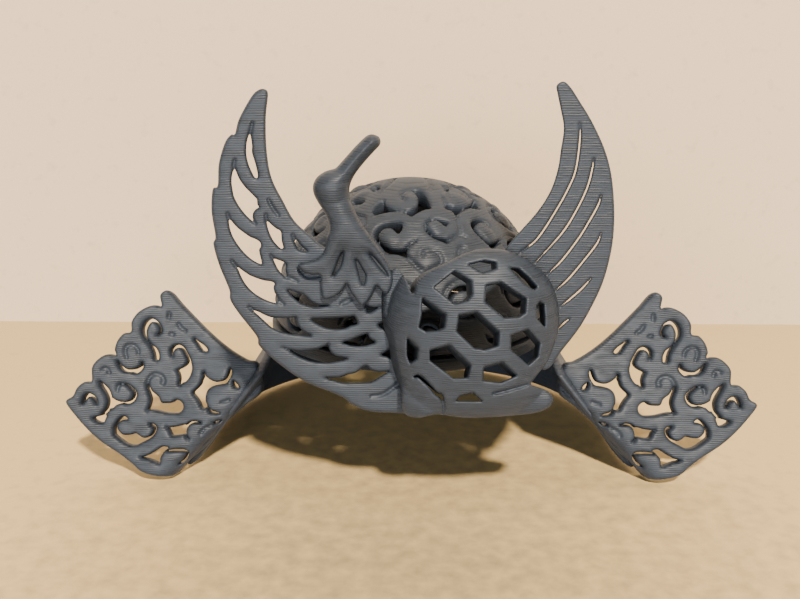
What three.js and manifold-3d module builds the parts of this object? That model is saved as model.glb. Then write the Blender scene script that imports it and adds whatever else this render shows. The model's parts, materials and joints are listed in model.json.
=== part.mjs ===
// Small openwork ornament of a samurai helmet, printed in grey plastic.
// Millimetres, +Z up, the crest faces -Y, the table is Z = 0.
// The pieces are drawn round the bowl's axis, and the whole is then centred on its footprint.
import * as THREE from 'three';
import ManifoldModule from 'manifold-3d';

// Sizes shared by every piece
const WALL = 1.4; // thickness of a printed sheet
const CLEAR = 0.3; // gap between neighbouring pieces

// Bowl and its band
const BOWL_R = 20.8; // outside radius of the bowl
const BOWL_Z = 21.5; // height of the bowl's lower edge
const BAND_H = 1.8; // height of the band under the bowl
const BAND_OUT = 0.8; // how far the band stands out past the bowl
const SCROLL_SHARE = 0.317; // breadth of one cloud scroll, in shares of the bowl's radius

// Neck guard: a flared sheet in a horseshoe, open to the front
const GUARD_R = 32.7; // outside radius of its lower edge
const GUARD_TOP_OUT = 0.2; // how far its upper edge stands out past the bowl
const GUARD_SPREAD = 1.6; // how much wider the lower edge is at its front ends
const GUARD_DROP = 2.8; // how much lower the upper edge is at its front ends
const GUARD_STEP = 0.4; // how far its front ends stay back from the flaps, past the gap

// Side flaps
const FLAP_GRID = 14.55; // one step of the flap's drawing
const FLAP_OUT = 1.4; // how far its inner upper corner stands out past the bowl
const FLAP_Y = 13.4; // how far that corner is in front of the bowl's axis
const FLAP_FOOT = 0.2; // height of its lowest corner over the table
const FLAP_LEAN = 19.2; // degrees that its top leans back
const FLAP_DISH = 1.6; // how deep its face is dished
const FLAP_FOLD = 3.4; // how far its inner edge bends back toward the guard
const FOLD_SHARE = 0.28; // breadth of that bend, in grid steps

// Crest
const CREST_GRID = 13.26; // one step of the crest's drawing, across
const CREST_RISE = 14.28; // one step of the crest's drawing, upward
const CREST_TAPER = 0.029; // how much narrower each step upward is
const CREST_SHRINK = 0.0274; // how much lower each step upward is
const CREST_AHEAD = 6.7; // how far the middle of its sheets is in front of the bowl
const CREST_FOOT = 16.27; // height of the drawing's lowest line
const CREST_WALL = 1.8; // thickness of the wing and of the tail
const SIGHT_REACH = 122; // the figures rise toward an eye this far in front
const SIGHT_HEIGHT = 69; // and this high
const SHELL_WALL = 1.7; // thickness of the turtle's shell
const SHELL_BULGE = 5; // how far the middle of the shell stands out
const SLOT_SHARE = 0.035; // width of the tail's slots, in grid steps
const SKIRT_WALL = 1.3; // thickness of the petals
const NECK_DEEP = 1.7; // half thickness of the crane's neck
const FLIPPER_DEEP = 1.3; // half thickness of the lower flipper
const FLIPPER_WALL = 1.5; // thickness of the upper flipper
const FLIPPER_BROAD = 0.33; // breadth over which it climbs, in grid steps
const CLIMB_SHARE = 0.52; // height of its climb past the shell's rim, in shares of the shell's bulge
const HEAD_DEEP = 2.4; // half thickness of the turtle's head
const BRACKET_WIDE = 6; // breadth of the hidden bracket
const BRACKET_HIGH = 1.5; // and its height

// Places that follow from the sizes
const SCROLL = SCROLL_SHARE * BOWL_R; // breadth of one cloud scroll
const GUARD_TOP_R = BOWL_R + GUARD_TOP_OUT; // outside radius of the guard's upper edge
const CREST_Y = BOWL_R + CREST_AHEAD; // how far the crest is in front of the bowl's axis
const FRONT = CREST_WALL / 2; // front face of the crest's sheets
const SECOND = FRONT + CLEAR; // where the figures in front of them begin

const wasm = await ManifoldModule();
wasm.setup();

/** Grey print plastic. */
function plastic() {
  return new THREE.MeshStandardMaterial({ color: 0x666a70, roughness: 0.55, metalness: 0 });
}

/** Points of a ring, in equal turns, as [cosine, sine]. */
function turns(count) {
  return Array.from({ length: count }, (_, i) => {
    const a = (2 * Math.PI * i) / count;
    return [Math.cos(a), Math.sin(a)];
  });
}

/** Outline of a slot along a centre line with rows [x, y, width]. */
function slot(rows) {
  const near = [];
  const far = [];
  rows.forEach(([x, y, width], i) => {
    const [x0, y0] = rows[Math.max(i - 1, 0)];
    const [x1, y1] = rows[Math.min(i + 1, rows.length - 1)];
    const k = width / 2 / Math.hypot(x1 - x0, y1 - y0);
    near.push([x - (y1 - y0) * k, y + (x1 - x0) * k]);
    far.unshift([x + (y1 - y0) * k, y - (x1 - x0) * k]);
  });
  return [...near, ...far];
}

/** Twice the area of a loop, above zero when it runs anticlockwise. */
function area2(loop) {
  return loop.reduce((sum, [x, y], i) => {
    const [nx, ny] = loop[(i + 1) % loop.length];
    return sum + x * ny - nx * y;
  }, 0);
}

/** True when a point is inside a loop. */
function inside(x, y, loop) {
  let odd = false;
  loop.forEach(([ax, ay], i) => {
    const [bx, by] = loop[(i + 1) % loop.length];
    if (ay > y !== by > y && x < ((bx - ax) * (y - ay)) / (by - ay) + ax) odd = !odd;
  });
  return odd;
}

/** Distance from a point to a loop's edges. */
function edgeDistance(x, y, loop) {
  return Math.min(...loop.map(([ax, ay], i) => {
    const [bx, by] = loop[(i + 1) % loop.length];
    const dx = bx - ax;
    const dy = by - ay;
    const t = Math.max(0, Math.min(1, ((x - ax) * dx + (y - ay) * dy) / (dx * dx + dy * dy)));
    return Math.hypot(ax + t * dx - x, ay + t * dy - y);
  }));
}

/** Points of a staggered grid that lie in a sheet, clear of its edges. */
function innerPoints(outline, holes, step) {
  const xs = outline.map((p) => p[0]);
  const ys = outline.map((p) => p[1]);
  const found = [];
  let row = 0;
  for (let y = Math.min(...ys) + step / 2; y < Math.max(...ys); y += step * 0.87) {
    row += 1;
    for (let x = Math.min(...xs) + (step / 2) * (row % 2); x < Math.max(...xs); x += step) {
      const at = y + step * 0.05 * Math.sin((5 * x) / step); // no three points of a row are in line
      const loops = [outline, ...holes];
      const free = loops.every((loop) => edgeDistance(x, at, loop) > step * 0.45);
      if (free && inside(x, at, outline) && !holes.some((hole) => inside(x, at, hole))) {
        found.push([x, at]);
      }
    }
  }
  return found;
}

/** Cross product of ab and ac. */
function cross(a, b, c) {
  return (b[0] - a[0]) * (c[1] - a[1]) - (b[1] - a[1]) * (c[0] - a[0]);
}

/** True when d lies in the circle through a, b and c. */
function inCircle(a, b, c, d) {
  const [ax, ay, bx, by] = [a[0] - d[0], a[1] - d[1], b[0] - d[0], b[1] - d[1]];
  const [cx, cy] = [c[0] - d[0], c[1] - d[1]];
  const [aa, bb, cc] = [ax * ax + ay * ay, bx * bx + by * by, cx * cx + cy * cy];
  const det = aa * (bx * cy - cx * by) - bb * (ax * cy - cx * ay) + cc * (ax * by - bx * ay);
  return det > 1e-9;
}

/** Turns the shared edges of long thin triangles until the triangles are well shaped. */
function evenOut(points, faces, fixed) {
  for (let pass = 0; pass < 40; pass += 1) {
    const owner = new Map();
    const used = new Set();
    let changed = false;
    faces.forEach((face, f) => face.forEach((a, i) => owner.set(`${a},${face[(i + 1) % 3]}`, f)));
    for (const [key, f] of owner) {
      const [a, b] = key.split(',').map(Number);
      const g = owner.get(`${b},${a}`);
      if (a > b || g === undefined || fixed.has(key) || used.has(f) || used.has(g)) continue;
      const c = faces[f].find((v) => v !== a && v !== b);
      const d = faces[g].find((v) => v !== a && v !== b);
      const [pa, pb, pc, pd] = [points[a], points[b], points[c], points[d]];
      const convex = cross(pc, pa, pd) > 1e-9 && cross(pd, pb, pc) > 1e-9;
      if (convex && inCircle(pa, pb, pc, pd)) {
        faces[f] = [c, a, d];
        faces[g] = [d, b, c];
        used.add(f).add(g);
        changed = true;
      }
    }
    if (!changed) return;
  }
}

/** Closed geometry from points and faces, turned so that it faces outward. */
function solid(points, faces) {
  let volume = 0;
  const v = points.map((p) => new THREE.Vector3(...p));
  faces.forEach(([a, b, c]) => { volume += v[a].dot(v[b].clone().cross(v[c])); });
  const index = faces.flatMap(([a, b, c]) => (volume > 0 ? [a, b, c] : [a, c, b]));
  const geometry = new THREE.BufferGeometry();
  geometry.setAttribute('position', new THREE.Float32BufferAttribute(points.flat(), 3));
  geometry.setIndex(index);
  geometry.computeVertexNormals();
  return geometry;
}

/** Sheet with openings: the drawing is carried to its front (0) and back (1) by place(x, y, side). */
function sheet(outline, openings, step, place) {
  const rim = area2(outline) > 0 ? outline : [...outline].reverse();
  const holes = openings.map((hole) => (area2(hole) < 0 ? hole : [...hole].reverse()));
  const inner = innerPoints(rim, holes, step);
  const points = [...rim, ...holes.flat(), ...inner];
  const vectors = (loop) => loop.map(([x, y]) => new THREE.Vector2(x, y));
  const raw = THREE.ShapeUtils.triangulateShape(
    vectors(rim),
    [...holes.map(vectors), ...inner.map((p) => vectors([p]))],
  );
  const faces = raw.map(([a, b, c]) => (
    cross(points[a], points[b], points[c]) > 0 ? [a, b, c] : [a, c, b]));
  const loops = [];
  let start = 0;
  [rim, ...holes].forEach((loop) => {
    loops.push(loop.map((_, i) => start + i));
    start += loop.length;
  });
  const edges = loops.flatMap((loop) => loop.map((a, i) => [a, loop[(i + 1) % loop.length]]));
  evenOut(points, faces, new Set(edges.flatMap(([a, b]) => [`${a},${b}`, `${b},${a}`])));
  const n = points.length;
  const all = [0, 1].flatMap((side) => points.map(([x, y]) => place(x, y, side)));
  const back = faces.map(([a, b, c]) => [n + a, n + c, n + b]);
  const sides = edges.flatMap(([a, b]) => [[b, a, n + a], [b, n + a, n + b]]);
  return solid(all, [...faces, ...back, ...sides]);
}

/** Carries the crest's drawing to its place; out is the distance in front of its middle plane. */
function crest(u, v, out) {
  const x = CREST_GRID * u * (1 - CREST_TAPER * v);
  const z = CREST_FOOT + CREST_RISE * v * (1 - CREST_SHRINK * v);
  const k = out / SIGHT_REACH;
  return [x * (1 - k), -CREST_Y - out, z + (SIGHT_HEIGHT - z) * k];
}

/** Rounded body: stations [u, v, ahead, half breadth, half depth]; the last and ahead in shares of deep. */
function body(stations, from, deep, count) {
  const ring = turns(count);
  const points = stations.flatMap(([u, v, ahead, half, thick], i) => {
    const [u0, v0] = stations[Math.max(i - 1, 0)];
    const [u1, v1] = stations[Math.min(i + 1, stations.length - 1)];
    const k = half / Math.hypot(u1 - u0, v1 - v0);
    return ring.map(([c, s]) => (
      crest(u - (v1 - v0) * k * c, v + (u1 - u0) * k * c, from + deep * (ahead + thick * s))));
  });
  const faces = [];
  for (let i = 0; i < stations.length - 1; i += 1) {
    for (let j = 0; j < count; j += 1) {
      const [a, b] = [i * count + j, i * count + ((j + 1) % count)];
      faces.push([a, b, b + count], [a, b + count, a + count]);
    }
  }
  const [first, last] = [0, (stations.length - 1) * count];
  for (let j = 1; j < count - 1; j += 1) {
    faces.push([first, first + j + 1, first + j], [last, last + j, last + j + 1]);
  }
  return solid(points, faces);
}

/** Joins closed geometries that overlap. */
function join(geometries) {
  const parts = geometries.map((g) => new wasm.Manifold(new wasm.Mesh({
    numProp: 3,
    vertProperties: new Float32Array(g.getAttribute('position').array),
    triVerts: new Uint32Array(g.getIndex().array),
  })));
  const whole = parts.reduce((a, b) => a.add(b)).getMesh();
  const geometry = new THREE.BufferGeometry();
  geometry.setAttribute('position', new THREE.BufferAttribute(whole.vertProperties, 3));
  geometry.setIndex(Array.from(whole.triVerts));
  geometry.computeVertexNormals();
  return geometry;
}

// Bowl: rows of scrolls [latitude, scrolls in the row, longitude of the first, hand, size]
const BOWL_ROWS = [
  [67, 7, -91.5, -1, 1],
  [48.5, 12, -100.4, 1, 1],
  [34.3, 13, -82, -1, 1],
  [21, 13, -95, 1, 1],
  [8.6, 12, -83, -1, 0.82],
];

/** Gap round one scroll: rows [east, north, width] in shares of the scroll's breadth. */
const SCROLL_LINE = [
  [0.11, 0.08, 0.04],
  [0.15, 0.18, 0.09],
  [0, 0.24, 0.1],
  [-0.21, 0.18, 0.09],
  [-0.34, 0.02, 0.07],
  [-0.33, -0.15, 0.05],
  [-0.2, -0.3, 0.07],
  [0, -0.36, 0.11],
  [0.26, -0.34, 0.11],
  [0.42, -0.16, 0.03],
];

/** Bowl: a dome drawn flat, with the distance from the middle as degrees from its top. */
function bowl() {
  const rim = turns(72).map(([c, s]) => [90 * c, 90 * s]);
  const perMm = 180 / Math.PI / BOWL_R;
  const gaps = BOWL_ROWS.flatMap(([latitude, count, first, hand, size]) => (
    Array.from({ length: count }, (_, i) => {
      const middle = first + (i * 360) / count;
      const step = size * SCROLL * perMm;
      return slot(SCROLL_LINE).map(([e, n]) => {
        const up = latitude + n * step;
        const round = ((middle + (hand * e * step) / Math.cos((up * Math.PI) / 180)) * Math.PI) / 180;
        return [(90 - up) * Math.cos(round), (90 - up) * Math.sin(round)];
      });
    })));
  return sheet(rim, gaps, 11, (x, y, side) => {
    const down = Math.hypot(x, y);
    const r = BOWL_R - WALL * side;
    const out = (r * Math.sin((down * Math.PI) / 180)) / (down || 1);
    return [x * out, y * out, BOWL_Z + r * Math.cos((down * Math.PI) / 180)];
  });
}

/** Band under the bowl: a plain ring. */
function band() {
  const top = BOWL_Z - CLEAR;
  const low = top - BAND_H;
  const [inner, outer] = [BOWL_R - WALL, BOWL_R + BAND_OUT];
  const profile = [[inner, low], [outer, low], [outer, top], [inner, top], [inner, low]];
  const geometry = new THREE.LatheGeometry(profile.map(([r, z]) => new THREE.Vector2(r, z)), 64);
  geometry.rotateX(Math.PI / 2);
  return geometry;
}

/** Point of the right flap from its inner upper corner: steps outward and upward, depth behind. */
function flapOffset(a, b, depth) {
  const lean = (FLAP_LEAN * Math.PI) / 180;
  const outward = new THREE.Vector3(1, 0, 0);
  const upward = new THREE.Vector3(0, Math.sin(lean), Math.cos(lean));
  const facing = outward.clone().cross(upward);
  const away = new THREE.Vector3(BOWL_R, CREST_Y + SIGHT_REACH - FLAP_Y, CREST_FOOT - SIGHT_HEIGHT);
  const across = (a + b * 0.75 + 0.1) / 1.7;
  const dish = FLAP_DISH * 4 * across * (1 - across);
  const edge = Math.min(1, Math.max(0, 1 - (0.735 * a + 0.678 * (b + 0.16)) / FOLD_SHARE));
  return new THREE.Vector3()
    .addScaledVector(outward, a * FLAP_GRID)
    .addScaledVector(upward, b * FLAP_GRID)
    .addScaledVector(facing, -depth - dish)
    .addScaledVector(away.normalize(), FLAP_FOLD * (1 - Math.sqrt(1 - edge * edge)));
}

/** Height of the flap's inner upper corner, so that its lowest corner clears the table. */
function flapHeight() {
  return FLAP_FOOT - Math.min(...FLAP_OUTLINE.map(([a, b]) => flapOffset(a, b, WALL).z));
}

/** The same point in the helmet. */
function flapPoint(a, b, depth) {
  return flapOffset(a, b, depth).add(new THREE.Vector3(BOWL_R + FLAP_OUT, -FLAP_Y, flapHeight()));
}

/** Neck guard: a flared sheet from the band down to the table, round the back and both sides. */
function neckGuard() {
  const round = 22;
  const legs = 4;
  const top = BOWL_Z - CLEAR - BAND_H - CLEAR;
  const behind = WALL + CLEAR + GUARD_STEP;
  const topLeg = -flapPoint(0, -0.16, behind).y;
  const lowLeg = -flapPoint(0.84, -1.07, behind).y;
  const stops = [];
  for (let i = legs; i > 0; i -= 1) stops.push([-1, 0, i / legs]);
  for (let i = 0; i <= round; i += 1) {
    const a = Math.PI - (Math.PI * i) / round;
    stops.push([Math.cos(a), Math.sin(a), 0]);
  }
  for (let i = 1; i <= legs; i += 1) stops.push([1, 0, i / legs]);
  const at = ([c, s, leg], level, depth) => {
    const r = GUARD_TOP_R + (GUARD_R - GUARD_TOP_R) * level - depth;
    const length = topLeg + (lowLeg - topLeg) * level;
    const spread = GUARD_SPREAD * leg * leg;
    const z = (top - GUARD_DROP * leg * leg) * (1 - level);
    return [c * (r + spread), s * r - length * leg, z];
  };
  const levels = [0, 0.3, 0.65, 1];
  const rowSize = levels.length;
  const n = stops.length * rowSize;
  const points = [0, WALL].flatMap((depth) => (
    stops.flatMap((stop) => levels.map((level) => at(stop, level, depth)))));
  const faces = [];
  const quad = (a, b, c, d) => faces.push([a, b, c], [a, c, d]);
  for (let i = 0; i < stops.length - 1; i += 1) {
    for (let j = 0; j < rowSize - 1; j += 1) {
      const a = i * rowSize + j;
      quad(a, a + 1, a + rowSize + 1, a + rowSize);
      quad(n + a, n + a + rowSize, n + a + rowSize + 1, n + a + 1);
    }
    const [t, b] = [i * rowSize, i * rowSize + rowSize - 1];
    quad(t, t + rowSize, n + t + rowSize, n + t);
    quad(b, n + b, n + b + rowSize, b + rowSize);
  }
  for (let j = 0; j < rowSize - 1; j += 1) {
    const e = (stops.length - 1) * rowSize + j;
    quad(j, n + j, n + j + 1, j + 1);
    quad(e, e + 1, n + e + 1, n + e);
  }
  return solid(points, faces);
}

// Side flap, drawn in grid steps outward and upward from its inner upper corner
const FLAP_OUTLINE = [
  [0.02, 0.06], [0.13, 0.1], [0.26, 0.17], [0.39, 0.26], [0.53, 0.38], [0.66, 0.51], [0.8, 0.66],
  [0.89, 0.77], [0.95, 0.8], [1.01, 0.75], [1.0, 0.64],
  [1.06, 0.65], [1.14, 0.63], [1.23, 0.57], [1.29, 0.48], [1.3, 0.38],
  [1.37, 0.36], [1.43, 0.29], [1.46, 0.2], [1.45, 0.14],
  [1.53, 0.15], [1.61, 0.11], [1.68, 0.02], [1.69, -0.12],
  [1.76, -0.13], [1.83, -0.19], [1.87, -0.27],
  [1.93, -0.31], [1.93, -0.36], [1.83, -0.51], [1.73, -0.63], [1.6, -0.75], [1.42, -0.87],
  [1.3, -0.96], [1.2, -1.04], [1.06, -1.08], [0.93, -1.09], [0.84, -1.07],
  [0.73, -0.9], [0.59, -0.75], [0.39, -0.51], [0.19, -0.33], [0.0, -0.16],
];
const FLAP_GAPS = [
  slot([[1.02, 0.39, 0.015], [1.045, 0.45, 0.03], [1.1, 0.485, 0.03], [1.15, 0.45, 0.045],
    [1.17, 0.37, 0.04], [1.13, 0.29, 0.012], [1.08, 0.21, 0.035], [1.055, 0.12, 0.035]]),
  slot([[1.42, 0.05, 0.012], [1.37, -0.01, 0.03], [1.29, -0.04, 0.04], [1.23, 0, 0.035],
    [1.2, 0.07, 0.012]]),
  slot([[0.9, 0.15, 0.02], [0.89, 0.2, 0.03], [0.83, 0.23, 0.03], [0.77, 0.19, 0.02],
    [0.74, 0.11, 0.03], [0.745, 0, 0.1], [0.79, -0.1, 0.1], [0.83, -0.15, 0.03]]),
  slot([[0.66, 0.29, 0.01], [0.615, 0.22, 0.05], [0.57, 0.19, 0.04]]),
  slot([[0.97, -0.14, 0.01], [1.0, -0.08, 0.025], [1.06, -0.06, 0.02], [1.12, -0.09, 0.02],
    [1.145, -0.15, 0.02], [1.12, -0.22, 0.02]]),
  [[1.09, -0.26], [1.11, -0.4], [1.01, -0.43], [0.85, -0.44], [0.79, -0.41], [0.78, -0.35],
    [0.82, -0.31], [0.89, -0.34], [1.0, -0.34]],
  slot([[1.39, -0.15, 0.01], [1.32, -0.17, 0.03], [1.28, -0.23, 0.035], [1.31, -0.31, 0.05],
    [1.4, -0.34, 0.05], [1.49, -0.3, 0.03]]),
  slot([[1.78, -0.35, 0.015], [1.75, -0.28, 0.03], [1.71, -0.26, 0.03], [1.66, -0.3, 0.03],
    [1.645, -0.34, 0.015]]),
  slot([[1.61, -0.15, 0.015], [1.55, -0.24, 0.03], [1.53, -0.34, 0.03], [1.58, -0.46, 0.05],
    [1.68, -0.5, 0.02]]),
  slot([[1.35, -0.51, 0.02], [1.43, -0.53, 0.03], [1.475, -0.62, 0.04], [1.43, -0.71, 0.09],
    [1.3, -0.74, 0.12], [1.17, -0.71, 0.09], [1.065, -0.63, 0.05], [1.1, -0.56, 0.02]]),
  [[0.93, -0.59], [0.76, -0.56], [0.75, -0.63], [0.79, -0.65], [0.92, -0.65]],
  [[1.2, -0.89], [0.96, -0.79], [0.89, -0.8], [0.98, -0.86], [1.01, -0.94]],
  [[0.56, -0.05], [0.42, -0.11], [0.34, -0.06], [0.32, 0.01], [0.29, 0], [0.3, -0.09],
    [0.42, -0.16], [0.52, -0.2], [0.54, -0.27], [0.51, -0.37], [0.59, -0.39], [0.67, -0.26],
    [0.61, -0.15]],
];

/** Side flap: a dished sheet; hand is -1 on the left and 1 on the right, seen from the front. */
function flap(hand) {
  return sheet(FLAP_OUTLINE, FLAP_GAPS, 0.26, (a, b, side) => {
    const p = flapPoint(a, b, WALL * side);
    return [hand * p.x, p.y, p.z];
  });
}

// Crane's wing, which is the left horn
const WING_OUTLINE = [
  [-1.43, 3.18], [-1.47, 3.23], [-1.53, 3.22], [-1.6, 3.15], [-1.72, 2.93], [-1.76, 2.78],
  [-1.8, 2.77], [-1.86, 2.69], [-1.92, 2.48], [-1.93, 2.26], [-1.98, 2.22], [-1.99, 2.0],
  [-1.95, 1.75], [-1.97, 1.67], [-1.91, 1.46], [-1.81, 1.22], [-1.8, 1.12], [-1.72, 0.99],
  [-1.56, 0.79], [-1.52, 0.72], [-1.51, 0.66], [-1.39, 0.54], [-1.18, 0.38], [-1.01, 0.28],
  [-0.78, 0.19], [-0.65, 0.13], [-0.59, 0.08], [-0.43, 0.01], [-0.19, -0.01], [0.05, 0.0],
  [0.05, 0.2], [-0.05, 0.3], [-0.06, 0.62], [-0.12, 0.9], [-0.14, 1.2], [-0.2, 1.35],
  [-0.43, 1.5], [-0.66, 1.6], [-0.86, 1.65], [-1.01, 1.77], [-1.16, 1.91], [-1.27, 2.1],
  [-1.39, 2.34], [-1.44, 2.62], [-1.45, 2.95],
];
const WING_GAPS = [
  [[-1.6, 2.74], [-1.62, 2.62], [-1.6, 2.5], [-1.55, 2.34], [-1.56, 2.48], [-1.59, 2.6]],
  [[-1.76, 2.44], [-1.77, 2.31], [-1.76, 2.15], [-1.7, 2.03], [-1.58, 1.92], [-1.57, 2.03],
    [-1.53, 2.1], [-1.58, 2.19], [-1.68, 2.31]],
  [[-1.81, 1.91], [-1.78, 1.77], [-1.72, 1.63], [-1.6, 1.53], [-1.5, 1.47], [-1.51, 1.63],
    [-1.5, 1.67], [-1.58, 1.75], [-1.7, 1.82]],
  [[-1.72, 1.43], [-1.68, 1.3], [-1.58, 1.18], [-1.46, 1.11], [-1.33, 1.09], [-1.37, 1.2],
    [-1.37, 1.28], [-1.53, 1.33]],
  [[-1.52, 1.0], [-1.36, 0.94], [-1.14, 0.93], [-1.18, 0.87], [-1.06, 0.77], [-1.21, 0.78],
    [-1.39, 0.82]],
  [[-1.43, 1.89], [-1.29, 1.79], [-1.28, 1.65], [-1.37, 1.73]],
  [[-1.15, 1.73], [-1.11, 1.71], [-1.08, 1.63], [-1.12, 1.63]],
  [[-1.35, 1.52], [-1.25, 1.46], [-1.24, 1.37], [-1.31, 1.44]],
  [[-0.99, 0.91], [-0.53, 0.94], [-0.53, 0.86], [-0.74, 0.82], [-0.9, 0.86]],
  [[-0.66, 0.7], [-0.47, 0.78], [-0.34, 0.7], [-0.52, 0.66]],
  [[-1.23, 0.62], [-0.86, 0.64], [-0.8, 0.55], [-0.64, 0.53], [-0.83, 0.49], [-1.04, 0.52]],
  [[-0.85, 0.34], [-0.47, 0.45], [-0.43, 0.41], [-0.21, 0.4], [-0.54, 0.29]],
  [[-0.36, 0.15], [-0.12, 0.25], [-0.13, 0.2], [-0.22, 0.17]],
  [[-0.32, 0.9], [-0.22, 0.91], [-0.22, 0.82]],
  [[-0.27, 0.58], [-0.18, 0.64], [-0.18, 0.55]],
  [[-0.44, 1.06], [-0.31, 1.04], [-0.38, 1.0]],
  [[-1.2, 1.19], [-1.01, 1.16], [-0.81, 1.1], [-0.66, 1.11], [-0.82, 1.04], [-1.02, 1.1]],
];

// Turtle's tail, which is the right horn
const TAIL_OUTLINE = [
  [1.46, 3.27], [1.47, 3.18], [1.5, 3.03], [1.53, 2.84], [1.5, 2.62], [1.47, 2.43], [1.4, 2.22],
  [1.27, 2.01], [1.06, 1.77], [0.94, 1.62], [0.93, 1.53], [1.18, 1.28], [1.3, 1.0], [1.28, 0.5],
  [1.38, 0.44], [1.5, 0.6], [1.69, 0.85], [1.83, 1.1], [1.93, 1.33], [2.0, 1.6], [2.03, 1.84],
  [2.03, 2.11], [2.0, 2.4], [1.93, 2.65], [1.81, 2.91], [1.69, 3.11], [1.6, 3.25], [1.53, 3.31],
];
const TAIL_LINES = [
  [[1.69, 2.89], [1.69, 2.72], [1.65, 2.43], [1.58, 2.25], [1.46, 2.03], [1.27, 1.74], [1.1, 1.6]],
  [[1.83, 2.54], [1.81, 2.42], [1.76, 2.24], [1.65, 2.01], [1.51, 1.79], [1.25, 1.5]],
  [[1.9, 2.17], [1.87, 2.07], [1.77, 1.89], [1.67, 1.73], [1.51, 1.52], [1.36, 1.37]],
  [[1.9, 1.79], [1.86, 1.69], [1.73, 1.52], [1.58, 1.34], [1.45, 1.22]],
  [[1.8, 1.34], [1.72, 1.25], [1.61, 1.15], [1.5, 1.06]],
  [[1.59, 0.94], [1.54, 0.9], [1.48, 0.84]],
];

// Turtle's shell with its hexagon gaps
const SHELL_OUTLINE = [
  [0.07, 1.31], [0.2, 1.42], [0.4, 1.51], [0.63, 1.62], [0.84, 1.64], [1.03, 1.6], [1.22, 1.5],
  [1.39, 1.34], [1.48, 1.11], [1.49, 0.86], [1.46, 0.67], [1.38, 0.49], [1.22, 0.34],
  [1.05, 0.27], [0.9, 0.21], [0.74, 0.06], [0.6, 0.05], [0.46, 0.06], [0.33, 0.14], [0.2, 0.24],
  [0.07, 0.36], [-0.06, 0.42], [-0.11, 0.52], [-0.13, 0.64], [-0.12, 0.76], [-0.05, 0.92],
  [0.02, 1.12],
];
const SHELL_GAPS = [
  [[0.59, 1.48], [0.75, 1.52], [0.86, 1.5], [0.86, 1.44], [0.73, 1.4]],
  [[1.0, 1.45], [1.09, 1.44], [1.19, 1.35], [1.27, 1.26], [1.25, 1.23], [1.16, 1.28]],
  [[0.25, 1.25], [0.45, 1.41], [0.61, 1.31], [0.62, 1.18], [0.57, 1.12], [0.45, 1.09]],
  [[0.77, 1.27], [0.91, 1.3], [1.16, 1.14], [1.15, 1.0], [1.09, 0.96], [0.95, 0.95], [0.76, 1.11]],
  [[1.27, 1.07], [1.3, 1.11], [1.34, 1.09], [1.35, 0.95], [1.35, 0.86], [1.28, 0.94]],
  [[0.13, 1.13], [0.36, 0.97], [0.34, 0.84], [0.2, 0.81], [0.1, 0.88]],
  [[0.5, 0.97], [0.67, 1.0], [0.89, 0.8], [0.88, 0.67], [0.75, 0.63], [0.65, 0.65], [0.48, 0.81]],
  [[1.02, 0.77], [1.18, 0.83], [1.3, 0.7], [1.28, 0.56], [1.19, 0.48], [1.02, 0.63]],
  [[-0.02, 0.74], [0.08, 0.64], [0.07, 0.52], [0.02, 0.49], [-0.02, 0.6]],
  [[0.21, 0.62], [0.4, 0.67], [0.61, 0.47], [0.58, 0.35], [0.45, 0.34], [0.21, 0.52]],
  [[0.75, 0.45], [0.93, 0.5], [1.07, 0.37], [0.91, 0.3], [0.74, 0.32]],
  [[0.48, 0.12], [0.64, 0.19], [0.71, 0.13], [0.62, 0.1]],
];

/** Flat figure of the crest between two distances in front of its middle plane. */
function figure(outline, gaps, step, from, to, bulge) {
  return sheet(outline, gaps, step, (u, v, side) => {
    const rise = bulge ? bulge(u, v) : 0;
    return crest(u, v, (side ? from : to) + rise);
  });
}

/** Height of the turtle's shell over its rim: an oval dome. */
function shellRise(u, v) {
  const a = (u - 0.71) / 0.74;
  const b = (v - 0.86) / 0.76;
  return SHELL_BULGE * Math.max(0, 1 - a * a - b * b) ** 0.65;
}

const SKIRT_OUTLINE = [
  [-0.93, 1.5], [-1.12, 1.46], [-1.08, 1.4], [-1.0, 1.375], [-0.91, 1.38], [-0.89, 1.23],
  [-0.83, 1.14], [-0.73, 1.17], [-0.64, 1.26], [-0.6, 1.16], [-0.5, 1.07], [-0.41, 1.12],
  [-0.35, 1.23], [-0.29, 1.19], [-0.24, 1.19], [-0.235, 1.25], [-0.215, 1.34], [-0.18, 1.43],
  [-0.17, 1.48], [-0.23, 1.57], [-0.33, 1.68], [-0.59, 1.76], [-0.83, 1.69],
];
const SKIRT_GAPS = [
  slot([[-0.69, 1.59, 0.012], [-0.72, 1.46, 0.045], [-0.77, 1.36, 0.012]]),
  slot([[-0.545, 1.53, 0.012], [-0.505, 1.41, 0.065], [-0.465, 1.29, 0.02]]),
  slot([[-0.41, 1.59, 0.012], [-0.32, 1.47, 0.035], [-0.22, 1.37, 0.012]]),
];

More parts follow.
